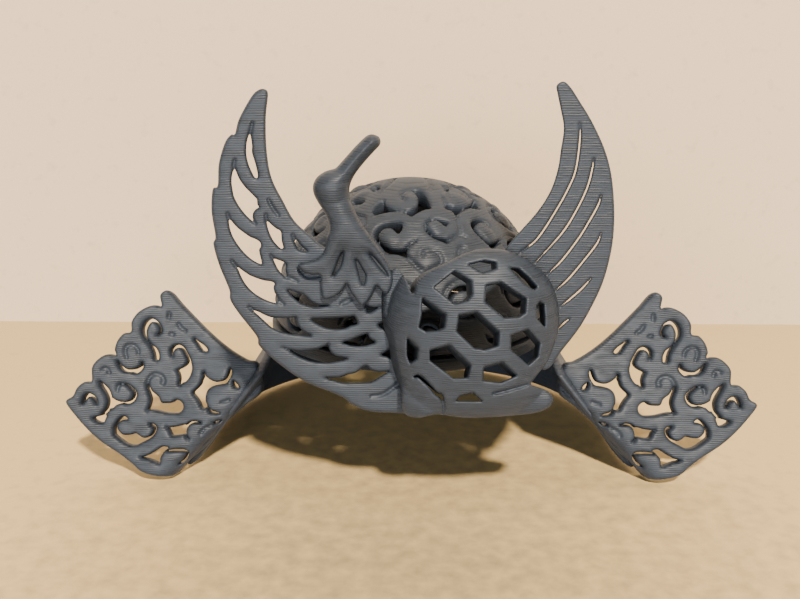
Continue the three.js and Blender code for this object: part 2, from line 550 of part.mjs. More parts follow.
/** Crane's neck, head and beak, over the petals. */
function crane(back) {
  const neck = body([
    [-0.56, 1.56, 0.6, 0.3, 0.6], [-0.58, 1.68, 0.85, 0.26, 0.85], [-0.615, 1.81, 1, 0.195, 1],
    [-0.67, 1.96, 1, 0.155, 1], [-0.745, 2.08, 1, 0.16, 1], [-0.79, 2.22, 1, 0.14, 0.85],
  ], back, NECK_DEEP, 16);
  const head = body([
    [-0.87, 2.1, 1.05, 0.06, 0.4], [-0.845, 2.15, 1.05, 0.12, 0.8], [-0.81, 2.24, 1.05, 0.165, 1.05],
    [-0.775, 2.34, 1.05, 0.13, 0.9], [-0.745, 2.4, 1.05, 0.06, 0.5],
  ], back, NECK_DEEP, 16);
  const beak = body([
    [-0.8, 2.24, 1.05, 0.1, 0.7], [-0.7, 2.36, 1.05, 0.075, 0.55], [-0.56, 2.52, 1, 0.058, 0.4],
    [-0.43, 2.66, 0.95, 0.045, 0.35], [-0.34, 2.73, 0.95, 0.035, 0.3],
  ], back, NECK_DEEP, 10);
  return join([neck, head, beak]);
}

const pieces = {
  bowl: bowl(),
  bowl_band: band(),
  neck_guard: neckGuard(),
  left_flap: flap(-1),
  right_flap: flap(1),
  crane_wing: figure(WING_OUTLINE, WING_GAPS, 0.4, -FRONT, FRONT),
  crane_petals: figure(SKIRT_OUTLINE, SKIRT_GAPS, 0.3, SECOND, SECOND + SKIRT_WALL),
  crane_neck: crane(SECOND + SKIRT_WALL + CLEAR),
  turtle_tail: figure(
    TAIL_OUTLINE,
    TAIL_LINES.map((line) => slot(line.map(([u, v], i) => {
      const end = i === 0 || i === line.length - 1;
      return [u, v, SLOT_SHARE * (end ? 0.3 : 1)];
    }))),
    0.4,
    -FRONT,
    FRONT,
  ),
  turtle_shell: figure(
    SHELL_OUTLINE,
    SHELL_GAPS,
    0.17,
    SECOND,
    SECOND + SHELL_WALL,
    shellRise,
  ),
};

const FLIPPER_OUTLINE = [
  [-0.145, 1.445], [-0.175, 1.335], [-0.205, 1.21], [-0.23, 1.1], [-0.23, 0.96], [-0.2, 0.81],
  [-0.165, 0.7], [-0.12, 0.69], [-0.05, 0.73], [0.02, 0.79], [0.1, 0.86], [0.105, 0.98],
  [0.1, 1.11], [0.04, 1.19], [-0.03, 1.26], [-0.07, 1.35],
];

/** Height of the upper flipper: it climbs from the wing at its left edge over the shell's rim. */
function flipperRise(u) {
  const climb = SHELL_WALL + CLEAR + CLIMB_SHARE * SHELL_BULGE;
  const t = Math.min(1, Math.max(0, (u + 0.23) / FLIPPER_BROAD));
  return climb * (1 - (1 - t) ** 1.6);
}

pieces.turtle_upper_flipper = figure(
  FLIPPER_OUTLINE,
  [],
  0.11,
  SECOND,
  SECOND + FLIPPER_WALL,
  flipperRise,
);
pieces.turtle_lower_flipper = body([
  [0.34, 0.0, 2.6, 0.03, 0.4], [0.46, 0.01, 2.6, 0.06, 0.75], [0.6, 0.025, 2.6, 0.07, 0.9],
  [0.8, 0.03, 2.6, 0.09, 1], [1.0, 0.09, 2.6, 0.14, 1], [1.18, 0.125, 2.6, 0.15, 1],
  [1.32, 0.115, 2.6, 0.1, 0.8], [1.43, 0.12, 2.6, 0.04, 0.4],
], SECOND, FLIPPER_DEEP, 12);
pieces.turtle_head = body([
  [-0.04, 0.36, 1, 0.03, 0.3], [0, 0.31, 1, 0.075, 0.6], [0.045, 0.23, 1, 0.12, 0.9],
  [0.09, 0.13, 1, 0.17, 1], [0.105, 0.04, 1, 0.185, 0.95], [0.1, -0.02, 1, 0.15, 0.75],
  [0.09, -0.06, 1, 0.06, 0.35],
], SECOND, HEAD_DEEP, 14);

/** Plain hidden bracket between the band and the back of the crest. */
function bracket() {
  const from = BOWL_R + BAND_OUT + CLEAR;
  const to = CREST_Y - FRONT - CLEAR;
  const geometry = new THREE.BoxGeometry(BRACKET_WIDE, to - from, BRACKET_HIGH);
  geometry.translate(0, -(from + to) / 2, BOWL_Z - CLEAR - BAND_H / 2);
  return geometry;
}
pieces.crest_bracket = bracket();

const group = new THREE.Group();
group.name = 'kabuto';
for (const [name, geometry] of Object.entries(pieces)) {
  const mesh = new THREE.Mesh(geometry, plastic());
  mesh.name = name;
  group.add(mesh);
}

const box = new THREE.Box3().setFromObject(group);
group.position.set(-(box.min.x + box.max.x) / 2, -(box.min.y + box.max.y) / 2, -box.min.z);

export default group;
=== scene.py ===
"""Small openwork samurai helmet ornament in grey printed plastic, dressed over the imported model.

The drawings are the part's own, in steps of a named size. Each sheet is cut from a distance field, so
that its edges are rounded and its gaps have the soft corners of a print.
"""

import json
import logging
import math
from dataclasses import dataclass, field
from enum import Enum
from typing import Callable

import bpy
import numpy as np
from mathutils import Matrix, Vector

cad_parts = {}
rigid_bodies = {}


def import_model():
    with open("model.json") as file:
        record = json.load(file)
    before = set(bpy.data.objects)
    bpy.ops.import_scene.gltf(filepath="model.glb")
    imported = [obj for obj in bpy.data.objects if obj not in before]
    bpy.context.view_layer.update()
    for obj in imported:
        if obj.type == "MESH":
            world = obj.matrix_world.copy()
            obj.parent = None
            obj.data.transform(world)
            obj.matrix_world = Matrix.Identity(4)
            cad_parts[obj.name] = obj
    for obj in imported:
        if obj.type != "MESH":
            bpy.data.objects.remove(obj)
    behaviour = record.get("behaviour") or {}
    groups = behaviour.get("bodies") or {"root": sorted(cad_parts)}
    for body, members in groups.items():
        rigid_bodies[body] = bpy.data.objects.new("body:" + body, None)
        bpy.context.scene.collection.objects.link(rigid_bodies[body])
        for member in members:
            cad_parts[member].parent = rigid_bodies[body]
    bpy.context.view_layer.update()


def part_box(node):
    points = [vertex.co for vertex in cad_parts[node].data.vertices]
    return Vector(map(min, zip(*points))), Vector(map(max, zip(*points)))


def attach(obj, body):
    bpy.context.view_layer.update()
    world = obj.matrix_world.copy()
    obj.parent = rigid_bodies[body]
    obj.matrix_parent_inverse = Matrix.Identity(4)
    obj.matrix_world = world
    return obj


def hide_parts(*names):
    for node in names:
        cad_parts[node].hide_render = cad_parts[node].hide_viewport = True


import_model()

LOG = logging.getLogger("ornament")
MM = 0.001
FAR = 9.0
GROOVE_DEPTH, GROOVE_SOFT = 0.34, 0.03
BACK_EDGE = 0.15
RELIEF_REACH = 0.2
LEAST_STEP = 0.04
Place = Callable[[np.ndarray, np.ndarray, np.ndarray], np.ndarray]


class Detail(Enum):
    """How fine a sheet's mesh is, as millimetres between its points."""

    FINE = 0.15
    MEDIUM = 0.18
    COARSE = 0.28


@dataclass(frozen=True)
class CrestSizes:
    """Sizes of the crest, in millimetres, as in the part."""

    grid: float = 13.26
    rise: float = 14.28
    taper: float = 0.029
    shrink: float = 0.0274
    front: float = 27.5
    foot: float = 16.27
    wall: float = 1.8
    sight_reach: float = 122.0
    sight_height: float = 69.0
    slot: float = 0.015
    slot_end: float = 0.4
    clear: float = 0.3
    thicker: float = 1.9
    tail_thicker: float = 0.9
    wing_edge: float = 0.35
    tail_edge: float = 0.3
    swell: tuple = (0.2, 1.4)


@dataclass(frozen=True)
class FlapSizes:
    """Sizes of a side flap, in millimetres and degrees."""

    grid: float = 14.55
    x: float = 22.2
    y: float = 13.4
    foot: float = 0.2
    lean: float = 19.2
    dish: float = 1.6
    fold: float = 3.4
    fold_share: float = 0.28
    wall: float = 2.0
    part_wall: float = 1.4
    edge: float = 0.4
    swell: tuple = (0.3, 1.0)
    away: tuple = (20.8, 136.1, -52.73)


@dataclass(frozen=True)
class BowlSizes:
    """Sizes of the bowl, its band and the guard, in millimetres."""

    radius: float = 20.8
    height: float = 21.5
    wall: float = 1.4
    scroll: float = 6.6
    band_high: float = 1.8
    band_out: float = 0.8
    clear: float = 0.3
    thicker: float = 0.9
    sight: float = 0.14
    apart: float = 4.2
    edge: float = 0.25
    swell: tuple = (0.22, 1.0)
    dome: float = 0.25
    dome_wide: float = 0.2
    ball_wide: float = 115.0
    band_edge: float = 0.4
    band_steps: int = 160


@dataclass(frozen=True)
class GuardSizes:
    """Sizes of the neck guard, in millimetres."""

    low: float = 32.7
    top: float = 21.0
    spread: float = 1.6
    drop: float = 2.8
    height: float = 19.1
    wall: float = 1.4
    lift: float = 0.7
    legs: tuple = (14.6, 12.0)
    leg_steps: int = 14
    turn_steps: int = 120
    down_steps: int = 30
    end_share: float = 0.55


@dataclass(frozen=True)
class FigureSizes:
    """Sizes of the crest's figures, in millimetres."""

    skirt_wall: float = 1.3
    neck_deep: float = 2.0
    neck_reach: float = 2.0
    flat_below: float = 1.3
    round_over: float = 0.6
    least_round: float = 0.14
    back_from: float = 1.8
    back_over: float = 0.15
    back_round: float = 0.6
    foot: float = 1.0
    edge: float = 0.35
    bulge: float = 6.4
    head: float = 3.0
    fin: float = 2.6
    fin_reach: float = 0.2
    dome_middle: tuple = (0.71, 0.84)
    dome_reach: tuple = ((0.94, 0.79), (0.92, 0.83))
    dome_power: float = 2.3
    head_middle: tuple = (0.11, 0.16)
    head_reach: tuple = (0.25, 0.3)
    shell_wall: float = 3.2
    lean_left: float = 0.055
    lean_down: float = 0.02


@dataclass(frozen=True)
class CameraPlan:
    """Where the camera stands, in millimetres from the bowl's axis on the table."""

    side: float = -1.66
    turn: float = 0.8
    back: float = 150.0
    height: float = 69.3
    pitch: float = 17.0
    lens: float = 45.0

    def eye(self) -> tuple:
        """The camera's place, in millimetres round the bowl's axis."""
        c, s = math.cos(math.radians(self.turn)), math.sin(math.radians(self.turn))
        return (self.side * c + self.back * s, self.side * s - self.back * c, self.height)


def spline(rows: list, closed: bool, per: int = 6) -> np.ndarray:
    """Smooth curve through table rows.

    Args:
        rows: Points, each with any number of columns.
        closed: Whether the last point joins the first.
        per: Steps between two points.

    Returns:
        The points of the curve.
    """
    p = np.array(rows, float)
    if closed:
        q = np.vstack([p[-1:], p, p[:2]])
    else:
        q = np.vstack([2 * p[:1] - p[1:2], p, 2 * p[-1:] - p[-2:-1]])
    t = np.linspace(0, 1, per, endpoint=False)[:, None]
    out = []
    for i in range(1, len(q) - 2):
        a, b, c, d = q[i - 1], q[i], q[i + 1], q[i + 2]
        out.append(0.5 * (2 * b + (c - a) * t + (2 * a - 5 * b + 4 * c - d) * t**2 + (3 * b - a - 3 * c + d) * t**3))
    if not closed:
        out.append(p[-1:])
    return np.vstack(out)


class Field:
    """Distance field of a drawing on a square grid; below zero is inside."""

    def __init__(self, low: tuple, high: tuple, step: float) -> None:
        """Makes an empty field.

        Args:
            low: Lowest corner of the drawing.
            high: Highest corner.
            step: Grid step.
        """
        self.step = step
        self.xs = np.arange(low[0] - 2.5 * step, high[0] + 3.5 * step, step)
        self.ys = np.arange(low[1] - 2.5 * step, high[1] + 3.5 * step, step)
        self.x, self.y = np.meshgrid(self.xs, self.ys)
        self.value = np.full(self.x.shape, FAR)

    def window(self, points: np.ndarray, margin: float) -> tuple:
        """Slices of the grid round some points.

        Args:
            points: The points.
            margin: How far past them the window reaches.

        Returns:
            Row and column slices.
        """
        lo, hi = points[:, :2].min(0) - margin, points[:, :2].max(0) + margin
        cols = slice(max(0, int((lo[0] - self.xs[0]) / self.step)), int((hi[0] - self.xs[0]) / self.step) + 2)
        rows = slice(max(0, int((lo[1] - self.ys[0]) / self.step)), int((hi[1] - self.ys[0]) / self.step) + 2)
        return rows, cols

    def loop(self, points: np.ndarray, margin: float = 2.0) -> tuple:
        """Signed distance to a closed loop.

        Args:
            points: Its points.
            margin: How far past the loop it is worked out.

        Returns:
            The window and the distances in it.
        """
        rows, cols = self.window(points, margin)
        x, y = self.x[rows, cols], self.y[rows, cols]
        best = np.full(x.shape, 1e9)
        odd = np.zeros(x.shape, bool)
        for (ax, ay), (bx, by) in zip(points, np.roll(points, -1, 0)):
            dx, dy = bx - ax, by - ay
            long2 = dx * dx + dy * dy
            if long2 < 1e-12:
                continue
            t = np.clip(((x - ax) * dx + (y - ay) * dy) / long2, 0, 1)
            best = np.minimum(best, (ax + t * dx - x) ** 2 + (ay + t * dy - y) ** 2)
            if ay != by:
                odd ^= ((ay > y) != (by > y)) & (x < dx * (y - ay) / dy + ax)
        return (rows, cols), np.where(odd, -1, 1) * np.sqrt(best)

    def line(self, rows_: np.ndarray, margin: float = 1.5) -> tuple:
        """Distance to a line whose width changes along it.

        Args:
            rows_: Rows of x, y and width.
            margin: How far past the line it is worked out.

        Returns:
            The window and the distances in it, below zero inside the line.
        """
        rows, cols = self.window(rows_, margin)
        x, y = self.x[rows, cols], self.y[rows, cols]
        best = np.full(x.shape, 1e9)
        for (ax, ay, aw), (bx, by, bw) in zip(rows_[:-1], rows_[1:]):
            dx, dy = bx - ax, by - ay
            t = np.clip(((x - ax) * dx + (y - ay) * dy) / max(dx * dx + dy * dy, 1e-12), 0, 1)
            best = np.minimum(best, np.hypot(ax + t * dx - x, ay + t * dy - y) - (aw + t * (bw - aw)) / 2)
        return (rows, cols), best


@dataclass
class Drawing:
    """Flat drawing of a sheet, in grid steps."""

    grid: float
    outline: list
    holes: list = field(default_factory=list)
    slots: list = field(default_factory=list)
    grooves: list = field(default_factory=list)
    domes: list = field(default_factory=list)
    facets: list = field(default_factory=list)

    def scaled(self, rows: list, closed: bool) -> np.ndarray:
        """Smooth curve of a table row list in millimetres of the drawing.

        Args:
            rows: The table.
            closed: Whether it is a loop.

        Returns:
            The curve's points.
        """
        return spline(rows, closed) * self.grid


class Sheet:
    """Printed sheet with gaps, rounded edges and relief on its front."""

    def __init__(self, name: str, drawing: Drawing, detail: Detail, wall: float, edge: float, place: Place) -> None:
        """Takes the drawing and how it lies in space.

        Args:
            name: Name of the piece.
            drawing: Its drawing.
            detail: How fine it is.
            wall: Thickness.
            edge: Radius of its edges.
            place: Carries x, y and height over the middle plane, all in millimetres, to the helmet.
        """
        self.name, self.drawing, self.wall, self.edge, self.place = name, drawing, wall, edge, place
        pts = drawing.scaled(drawing.outline, True)
        self.field = Field(tuple(pts.min(0)), tuple(pts.max(0)), detail.value)
        self.relief = np.zeros(self.field.x.shape)
        self.under = np.zeros(self.field.x.shape)
        where, value = self.field.loop(pts, 3.0)
        self.field.value[where] = value
        self.cut()

    def cut(self) -> None:
        """Cuts the gaps, and presses the grooves and domes into the front."""
        f, d = self.field, self.drawing
        gaps = [f.loop(d.scaled(rows, True)) for rows in d.holes]
        gaps += [f.loop(np.array(rows) * d.grid) for rows in d.facets]
        gaps += [f.line(d.scaled(rows, False)) for rows in d.slots]
        for where, value in gaps:
            f.value[where] = np.maximum(f.value[where], -value)
        for rows in d.grooves:
            where, value = f.line(d.scaled(rows, False))
            self.relief[where] -= GROOVE_DEPTH * np.exp(-np.maximum(value, 0) ** 2 / GROOVE_SOFT)
        for x, y, radius, height in d.domes:
            centre = np.array([[x, y]]) * d.grid
            where = f.window(centre, radius * d.grid)
            far = np.hypot(f.x[where] - centre[0, 0], f.y[where] - centre[0, 1]) / (radius * d.grid)
            self.relief[where] += height * np.maximum(0, 1 - far**2)

    def swell(self, height: float, reach: float, share: Callable | None = None, back: Callable | None = None) -> None:
        """Rounds the sheet up from its edges and gaps.

        Args:
            height: How far it rises, in millimetres.
            reach: How far from an edge it has its full height.
            share: Share of the height at each point of the drawing, or none for all of it.
            back: Share of the height on the back, or none for a flat back.
        """
        f = self.field
        far = 1 - np.clip(-f.value / reach, 0, 1)
        rise = height * np.sqrt(1 - far**2)
        self.relief += rise * (share(f.x, f.y) if share else 1)
        if back:
            self.under += rise * back(f.x, f.y)

    def build(self) -> bpy.types.Object:
        """Makes the sheet's object.

        Returns:
            The object.
        """
        return make_object(self.name, *self.mesh())

    def mesh(self) -> tuple:
        """Makes the mesh.

        Returns:
            Its points and faces.
        """
        f = self.field
        v = f.value
        inside = v < 0
        number = np.full(v.shape, -1)
        number[inside] = np.arange(inside.sum())
        x, y, deep = f.x[inside], f.y[inside], -v[inside]
        rel, under = self.relief[inside], self.under[inside]
        count = len(x)
        h = np.nonzero(inside[:, :-1] != inside[:, 1:])
        w = np.nonzero(inside[:-1] != inside[1:])
        across = np.full(v.shape, -1)
        along = np.full(v.shape, -1)
        across[h] = count + np.arange(len(h[0]))
        along[w] = count + len(h[0]) + np.arange(len(w[0]))
        th = np.clip(v[h] / (v[h] - v[h[0], h[1] + 1]), LEAST_STEP, 1 - LEAST_STEP)
        tw = np.clip(v[w] / (v[w] - v[w[0] + 1, w[1]]), LEAST_STEP, 1 - LEAST_STEP)
        x = np.concatenate([x, f.x[h] + th * f.step, f.x[w]])
        y = np.concatenate([y, f.y[h], f.y[w] + tw * f.step])
        edges = len(h[0]) + len(w[0])
        deep = np.concatenate([deep, np.zeros(edges)])
        rel, under = (np.concatenate([a, np.zeros(edges)]) for a in (rel, under))
        drop, back_drop = (r - np.sqrt(np.maximum(r * r - (r - np.clip(deep, 0, r)) ** 2, 0))
                           for r in (self.edge, min(self.edge, BACK_EDGE)))
        half = self.wall / 2
        near = np.clip(deep / RELIEF_REACH, 0, 1)
        top = self.place(x, y, half - drop + rel * near)
        low = self.place(x, y, back_drop - half - under * near)
        total = len(x)
        full = inside[:-1, :-1] & inside[:-1, 1:] & inside[1:, :-1] & inside[1:, 1:]
        j, i = np.nonzero(full)
        quads = np.stack([number[j, i], number[j, i + 1], number[j + 1, i + 1], number[j + 1, i]], 1)
        faces = quads.tolist()
        walls = []
        some = (inside[:-1, :-1] | inside[:-1, 1:] | inside[1:, :-1] | inside[1:, 1:]) & ~full
        for j, i in zip(*np.nonzero(some)):
            corners = [(j, i), (j, i + 1), (j + 1, i + 1), (j + 1, i)]
            links = [across[j, i], along[j, i + 1], across[j + 1, i], along[j, i]]
            ring, kind = [], []
            for k in range(4):
                here, there = corners[k], corners[(k + 1) % 4]
                if inside[here]:
                    ring.append(int(number[here]))
                    kind.append(0)
                if inside[here] != inside[there]:
                    ring.append(int(links[k]))
                    kind.append(1 if inside[here] else 2)
            faces.append(ring)
            for k in range(len(ring)):
                if kind[k] == 1 and kind[(k + 1) % len(ring)] == 2:
                    walls.append((ring[k], ring[(k + 1) % len(ring)]))
        back = [[a + total for a in reversed(face)] for face in faces]
        sides = [[b, a, a + total, b + total] for a, b in walls]
        all_faces = faces + back + sides
        middle = (f.xs[len(f.xs) // 2], f.ys[len(f.ys) // 2])
        p = self.place(*(np.array(c) for c in (
            [middle[0], middle[0] + 0.1, middle[0], middle[0]],
            [middle[1], middle[1], middle[1] + 0.1, middle[1]],
            [0.0, 0.0, 0.0, 0.1],
        )))
        if np.dot(np.cross(p[1] - p[0], p[2] - p[0]), p[3] - p[0]) < 0:
            all_faces = [face[::-1] for face in all_faces]
        return np.vstack([top, low]), all_faces


def make_object(name: str, points: np.ndarray, faces: list) -> bpy.types.Object:
    """Smooth mesh object from points in millimetres round the bowl's axis.

    Args:
        name: Its name.
        points: Its points.
        faces: Its faces.

    Returns:
        The object, linked to the scene.
    """
    mesh = bpy.data.meshes.new(name)
    mesh.from_pydata((points * MM + np.array(ORIGIN)).tolist(), [], faces)
    mesh.polygons.foreach_set("use_smooth", [True] * len(mesh.polygons))
    mesh.update()
    obj = bpy.data.objects.new(name, mesh)
    bpy.context.scene.collection.objects.link(obj)
    return obj


def bowl_axis() -> tuple:
    """Place of the bowl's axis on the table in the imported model, in metres."""
    low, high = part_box("bowl")
    return ((low.x + high.x) / 2, (low.y + high.y) / 2, 0.0)


ORIGIN = bowl_axis()


class CrestPlane:
    """Carries the crest's drawing to its place in the helmet."""

    def __init__(self, sizes: CrestSizes) -> None:
        """Takes the sizes.

        Args:
            sizes: Sizes of the crest.
        """
        self.s = sizes

    def point(self, u: np.ndarray, v: np.ndarray, out: np.ndarray) -> np.ndarray:
        """Points of the drawing in space.

        Args:
            u: Grid steps to the right of the helmet's middle.
            v: Grid steps above the drawing's lowest line.
            out: Millimetres in front of the crest's middle plane.

        Returns:
            Points in millimetres round the bowl's axis.
        """
        s = self.s
        x = s.grid * u * (1 - s.taper * v)
        z = s.foot + s.rise * v * (1 - s.shrink * v)
        k = out / s.sight_reach
        return np.stack([x * (1 - k), -s.front - out + 0 * x, z + (s.sight_height - z) * k], -1)

    def flat(self, middle: float) -> Place:
        """Place for a sheet of the crest.

        Args:
            middle: How far in front of the crest's middle plane the sheet's middle lies.

        Returns:
            The function that carries the sheet to the helmet.
        """

        def place(x: np.ndarray, y: np.ndarray, h: np.ndarray) -> np.ndarray:
            """Carries a sheet's points from its flat drawing."""
            return self.point(x / self.s.grid, y / self.s.grid, middle + h)

        return place


def turtle_rise(u: np.ndarray, v: np.ndarray, f: "FigureSizes") -> np.ndarray:
    """Height of the turtle over its foot.

    Args:
        u: Grid steps to the right.
        v: Grid steps up.
        f: Sizes of the figures.

    Returns:
        The height in millimetres.
    """
    a, b = (np.abs(w - middle) / np.where(w < middle, *reach)
            for w, middle, reach in zip((u, v), f.dome_middle, f.dome_reach))
    dome = f.bulge * np.sqrt(np.maximum(0, 1 - a**f.dome_power - b**f.dome_power))
    a, b = ((w - middle) / reach for w, middle, reach in zip((u, v), f.head_middle, f.head_reach))
    head = f.head * np.sqrt(np.maximum(0, 1 - a**2 - b**2))
    far = np.full(np.shape(u), FAR)
    for (ax, ay), (bx, by) in zip(FIN_LINE[:-1], FIN_LINE[1:]):
        t = np.clip(((u - ax) * (bx - ax) + (v - ay) * (by - ay)) / ((bx - ax) ** 2 + (by - ay) ** 2), 0, 1)
        far = np.minimum(far, np.hypot(ax + t * (bx - ax) - u, ay + t * (by - ay) - v))
    fin = f.fin * np.sqrt(np.maximum(0, 1 - (far / f.fin_reach) ** 2))
    return (dome**3 + fin**3 + head**3) ** (1 / 3)


def hundredths(rows: list) -> list:
    """The numbers of a drawing table, which are written as hundredths of a grid step."""
    return [hundredths(row) if isinstance(row, list) else row / 100 for row in rows]


WING_OUTLINE = hundredths([
    [-143, 318], [-147, 323], [-153, 322], [-160, 315], [-172, 293], [-176, 278], [-180, 277], [-186, 269],
    [-192, 248], [-193, 226], [-198, 222], [-199, 200], [-195, 175], [-197, 167], [-191, 146], [-181, 122],
    [-180, 112], [-172, 99], [-156, 79], [-152, 72], [-151, 66], [-139, 54], [-118, 38], [-101, 28], [-78, 19],
    [-65, 13], [-59, 8], [-43, 1], [-19, -1], [5, 0], [5, 20], [-5, 30], [-6, 62], [-12, 90], [-14, 120],
    [-20, 135], [-43, 150], [-66, 160], [-86, 165], [-101, 177], [-116, 191], [-127, 210], [-139, 234], [-144, 262],
    [-145, 295],
])
WING_HOLES = hundredths([
    [[-161, 278], [-163.5, 272], [-164.5, 264], [-164.2, 256], [-162, 247], [-159, 240], [-156, 234.5],
     [-153.8, 233.5], [-152.7, 236], [-154, 243], [-156.5, 252], [-158.7, 259], [-158.7, 266], [-159.7, 273]],
    [[-176.5, 242.5], [-178.5, 237], [-179, 229], [-178, 222], [-176.5, 215], [-173, 208], [-169, 202], [-164, 196],
     [-158.5, 191], [-157, 190.5], [-157.7, 194], [-157.5, 198], [-155, 202], [-151.5, 204.5], [-153, 207],
     [-153.5, 212], [-155, 214], [-161, 220], [-165, 224], [-171, 232], [-175, 241]],
    [[-181.5, 192], [-181, 186], [-179.5, 180], [-177, 174], [-173, 167.5], [-168, 161], [-162, 155], [-156, 150.5],
     [-149.5, 147.5], [-148.5, 149], [-149.5, 153.5], [-151, 160], [-151, 162.5], [-149.5, 165], [-149.5, 167.5],
     [-151, 170], [-155, 172.5], [-160, 174.5], [-166, 178.5], [-172, 183], [-176, 187], [-179, 190.5]],
    [[-173.5, 144.5], [-171.5, 141], [-169, 135], [-165, 128], [-160, 122], [-154, 117], [-147, 113], [-140, 110],
     [-134, 108.7], [-132, 111], [-131.5, 113], [-134, 116.5], [-136, 120.5], [-136.5, 125], [-135.5, 128],
     [-139, 130], [-146, 131], [-154, 133.5], [-161, 136.5], [-167, 140.5], [-171, 143.5]],
    [[-143.5, 190], [-142.5, 184], [-140.5, 178], [-137.5, 172], [-134, 167.5], [-130, 163.5], [-127.5, 163],
     [-127, 165], [-128.5, 171], [-129.5, 180], [-134, 183], [-139, 187], [-141.5, 189.5]],
    [[-115.5, 171], [-114, 166], [-111.5, 162], [-108, 160.5], [-103, 160.5], [-107, 164], [-111, 168.5],
     [-113.5, 171.5]],
    [[-136.5, 152], [-134, 146], [-131, 141], [-127, 136.5], [-124, 134.5], [-123.5, 137], [-124.5, 142],
     [-124.2, 146.5], [-125.5, 149], [-130, 151], [-135, 152.7]],
    [[-157, 101], [-151, 99.4], [-146, 96.8], [-139.2, 94.3], [-132.4, 93.6], [-122.3, 93.6], [-114, 94],
     [-113.7, 91], [-110.5, 84.2], [-105.5, 80], [-98.7, 75.7], [-108.8, 76.2], [-118.1, 77.3], [-124, 78.5],
     [-130.7, 80.4], [-138.3, 84.2], [-144.2, 89.3], [-151, 95.5]],
    [[-122, 121.5], [-120, 118], [-115, 113], [-109, 108.5], [-102, 106], [-95, 104.5], [-81, 106], [-89, 106.5],
     [-95, 108], [-100, 111], [-104, 115], [-108, 118], [-114, 119.5]],
    [[-98.2, 92.3], [-88.6, 93.3], [-71.8, 94.1], [-59.2, 95.2], [-55.6, 95.4], [-52.4, 88.6], [-59.2, 85.9],
     [-65.1, 83.4], [-71.8, 82.5], [-80.2, 83], [-86.1, 84.6], [-92, 87.6]],
    [[-31.4, 87.6], [-27.2, 89.7], [-23.8, 91.4], [-23, 90.1], [-21.7, 83.4], [-27.2, 83.1], [-30.5, 85.1]],
    [[-66.7, 69.1], [-59.2, 71.6], [-53.3, 74.1], [-47.4, 76.6], [-42.3, 77.9], [-41, 74.9], [-38.1, 72],
     [-34.7, 69.9], [-39, 67.8], [-45.7, 66.1], [-52.4, 65.7], [-59.2, 66.5]],
    [[-127.4, 64], [-122.3, 62.3], [-115.6, 61.1], [-108.8, 60.6], [-101.3, 61.1], [-93.7, 62.3], [-88.6, 64],
     [-83.6, 66.1], [-81.5, 67.6], [-81, 63.2], [-78.5, 59], [-74.3, 56], [-69.3, 54.6], [-62.5, 53.2],
     [-68.4, 51.2], [-76, 49.7], [-83.6, 48.8], [-91.2, 49.3], [-97.9, 50.1], [-104.6, 52.2], [-110.5, 54.7],
     [-115.6, 57.7], [-120.6, 61]],
    [[-84.4, 33.7], [-71.8, 34.1], [-66.7, 35.4], [-61.7, 37.1], [-54.9, 38.7], [-50.7, 41.3], [-46.5, 44.6],
     [-43.2, 45.9], [-40.6, 43.4], [-35.6, 40.8], [-29.7, 40], [-24.6, 40.3], [-20, 40.8], [-24.6, 38.3],
     [-29.7, 35.4], [-34.7, 32], [-39.8, 29.7], [-45.7, 29.1], [-54.9, 29], [-63.4, 28.6], [-70.1, 29.5],
     [-75.2, 31.2]],
    [[-43.6, 107], [-40.6, 105.3], [-34.7, 104.4], [-29.7, 105.1], [-33.9, 102.7], [-38.1, 100.2], [-42.7, 99.4]],
    [[-28.4, 56.8], [-24.6, 59.8], [-20.4, 62.3], [-17.1, 64.4], [-17.1, 61.5], [-17.9, 54.7], [-23, 55.4]],
])
WING_GROOVES = hundredths([
    [[-158.5, 289, 0.4], [-160, 282, 1], [-161, 278, 1.2]],
    [[-176, 252, 0.4], [-177, 246, 1], [-176.5, 243, 1.2]],
    [[-158, 191, 1.2], [-155, 188, 0.4]],
    [[-183, 198, 0.4], [-181.5, 193, 1.2]],
    [[-178.5, 150.5, 0.4], [-174, 145, 1.2]],
    [[-132, 112, 1.2], [-129, 109, 1], [-126.5, 107.5, 0.4]],
    [[-144.5, 197, 0.4], [-144, 193, 1], [-143.5, 190, 1.2]],
    [[-117.5, 177, 0.4], [-115.7, 172, 1.2]],
    [[-139, 156, 0.4], [-136.7, 152.5, 1.2]],
    [[-124, 134.5, 1.2], [-120, 133.5, 1], [-113, 130.5, 0.4]],
    [[-161, 104.5, 0.4], [-157, 101.5, 1.2]],
    [[-142, 212, 0.4], [-139, 206, 1], [-135, 200, 1], [-132, 196.5, 0.4]],
    [[-91, 150, 0.6], [-87, 153, 1.6], [-83, 156, 0.6]],
    [[-111, 143, 1], [-106, 139, 3], [-101, 136, 3.5], [-90, 137, 3]],
    [[-68.4, 108.2, 1.2], [-63.4, 110.5, 2.5], [-59, 112.5, 1.2]],
    [[-38.1, 15.6, 0.8], [-31.4, 16, 1.5], [-24.6, 18.5, 1.6], [-19.6, 21.9, 1.6], [-14.5, 25.7, 1.8],
     [-10.5, 28.2, 3], [-7.5, 26, 2]],
])
TAIL_OUTLINE = hundredths([
    [146, 327], [147, 318], [150, 303], [153, 284], [150, 262], [147, 243], [140, 222], [127, 201], [106, 177],
    [94, 162], [93, 153], [118, 128], [130, 100], [128, 50], [138, 44], [150, 60], [169, 85], [183, 110],
    [193, 133], [200, 160], [203, 184], [203, 211], [200, 240], [193, 265], [181, 291], [169, 311], [160, 325],
    [153, 331],
])
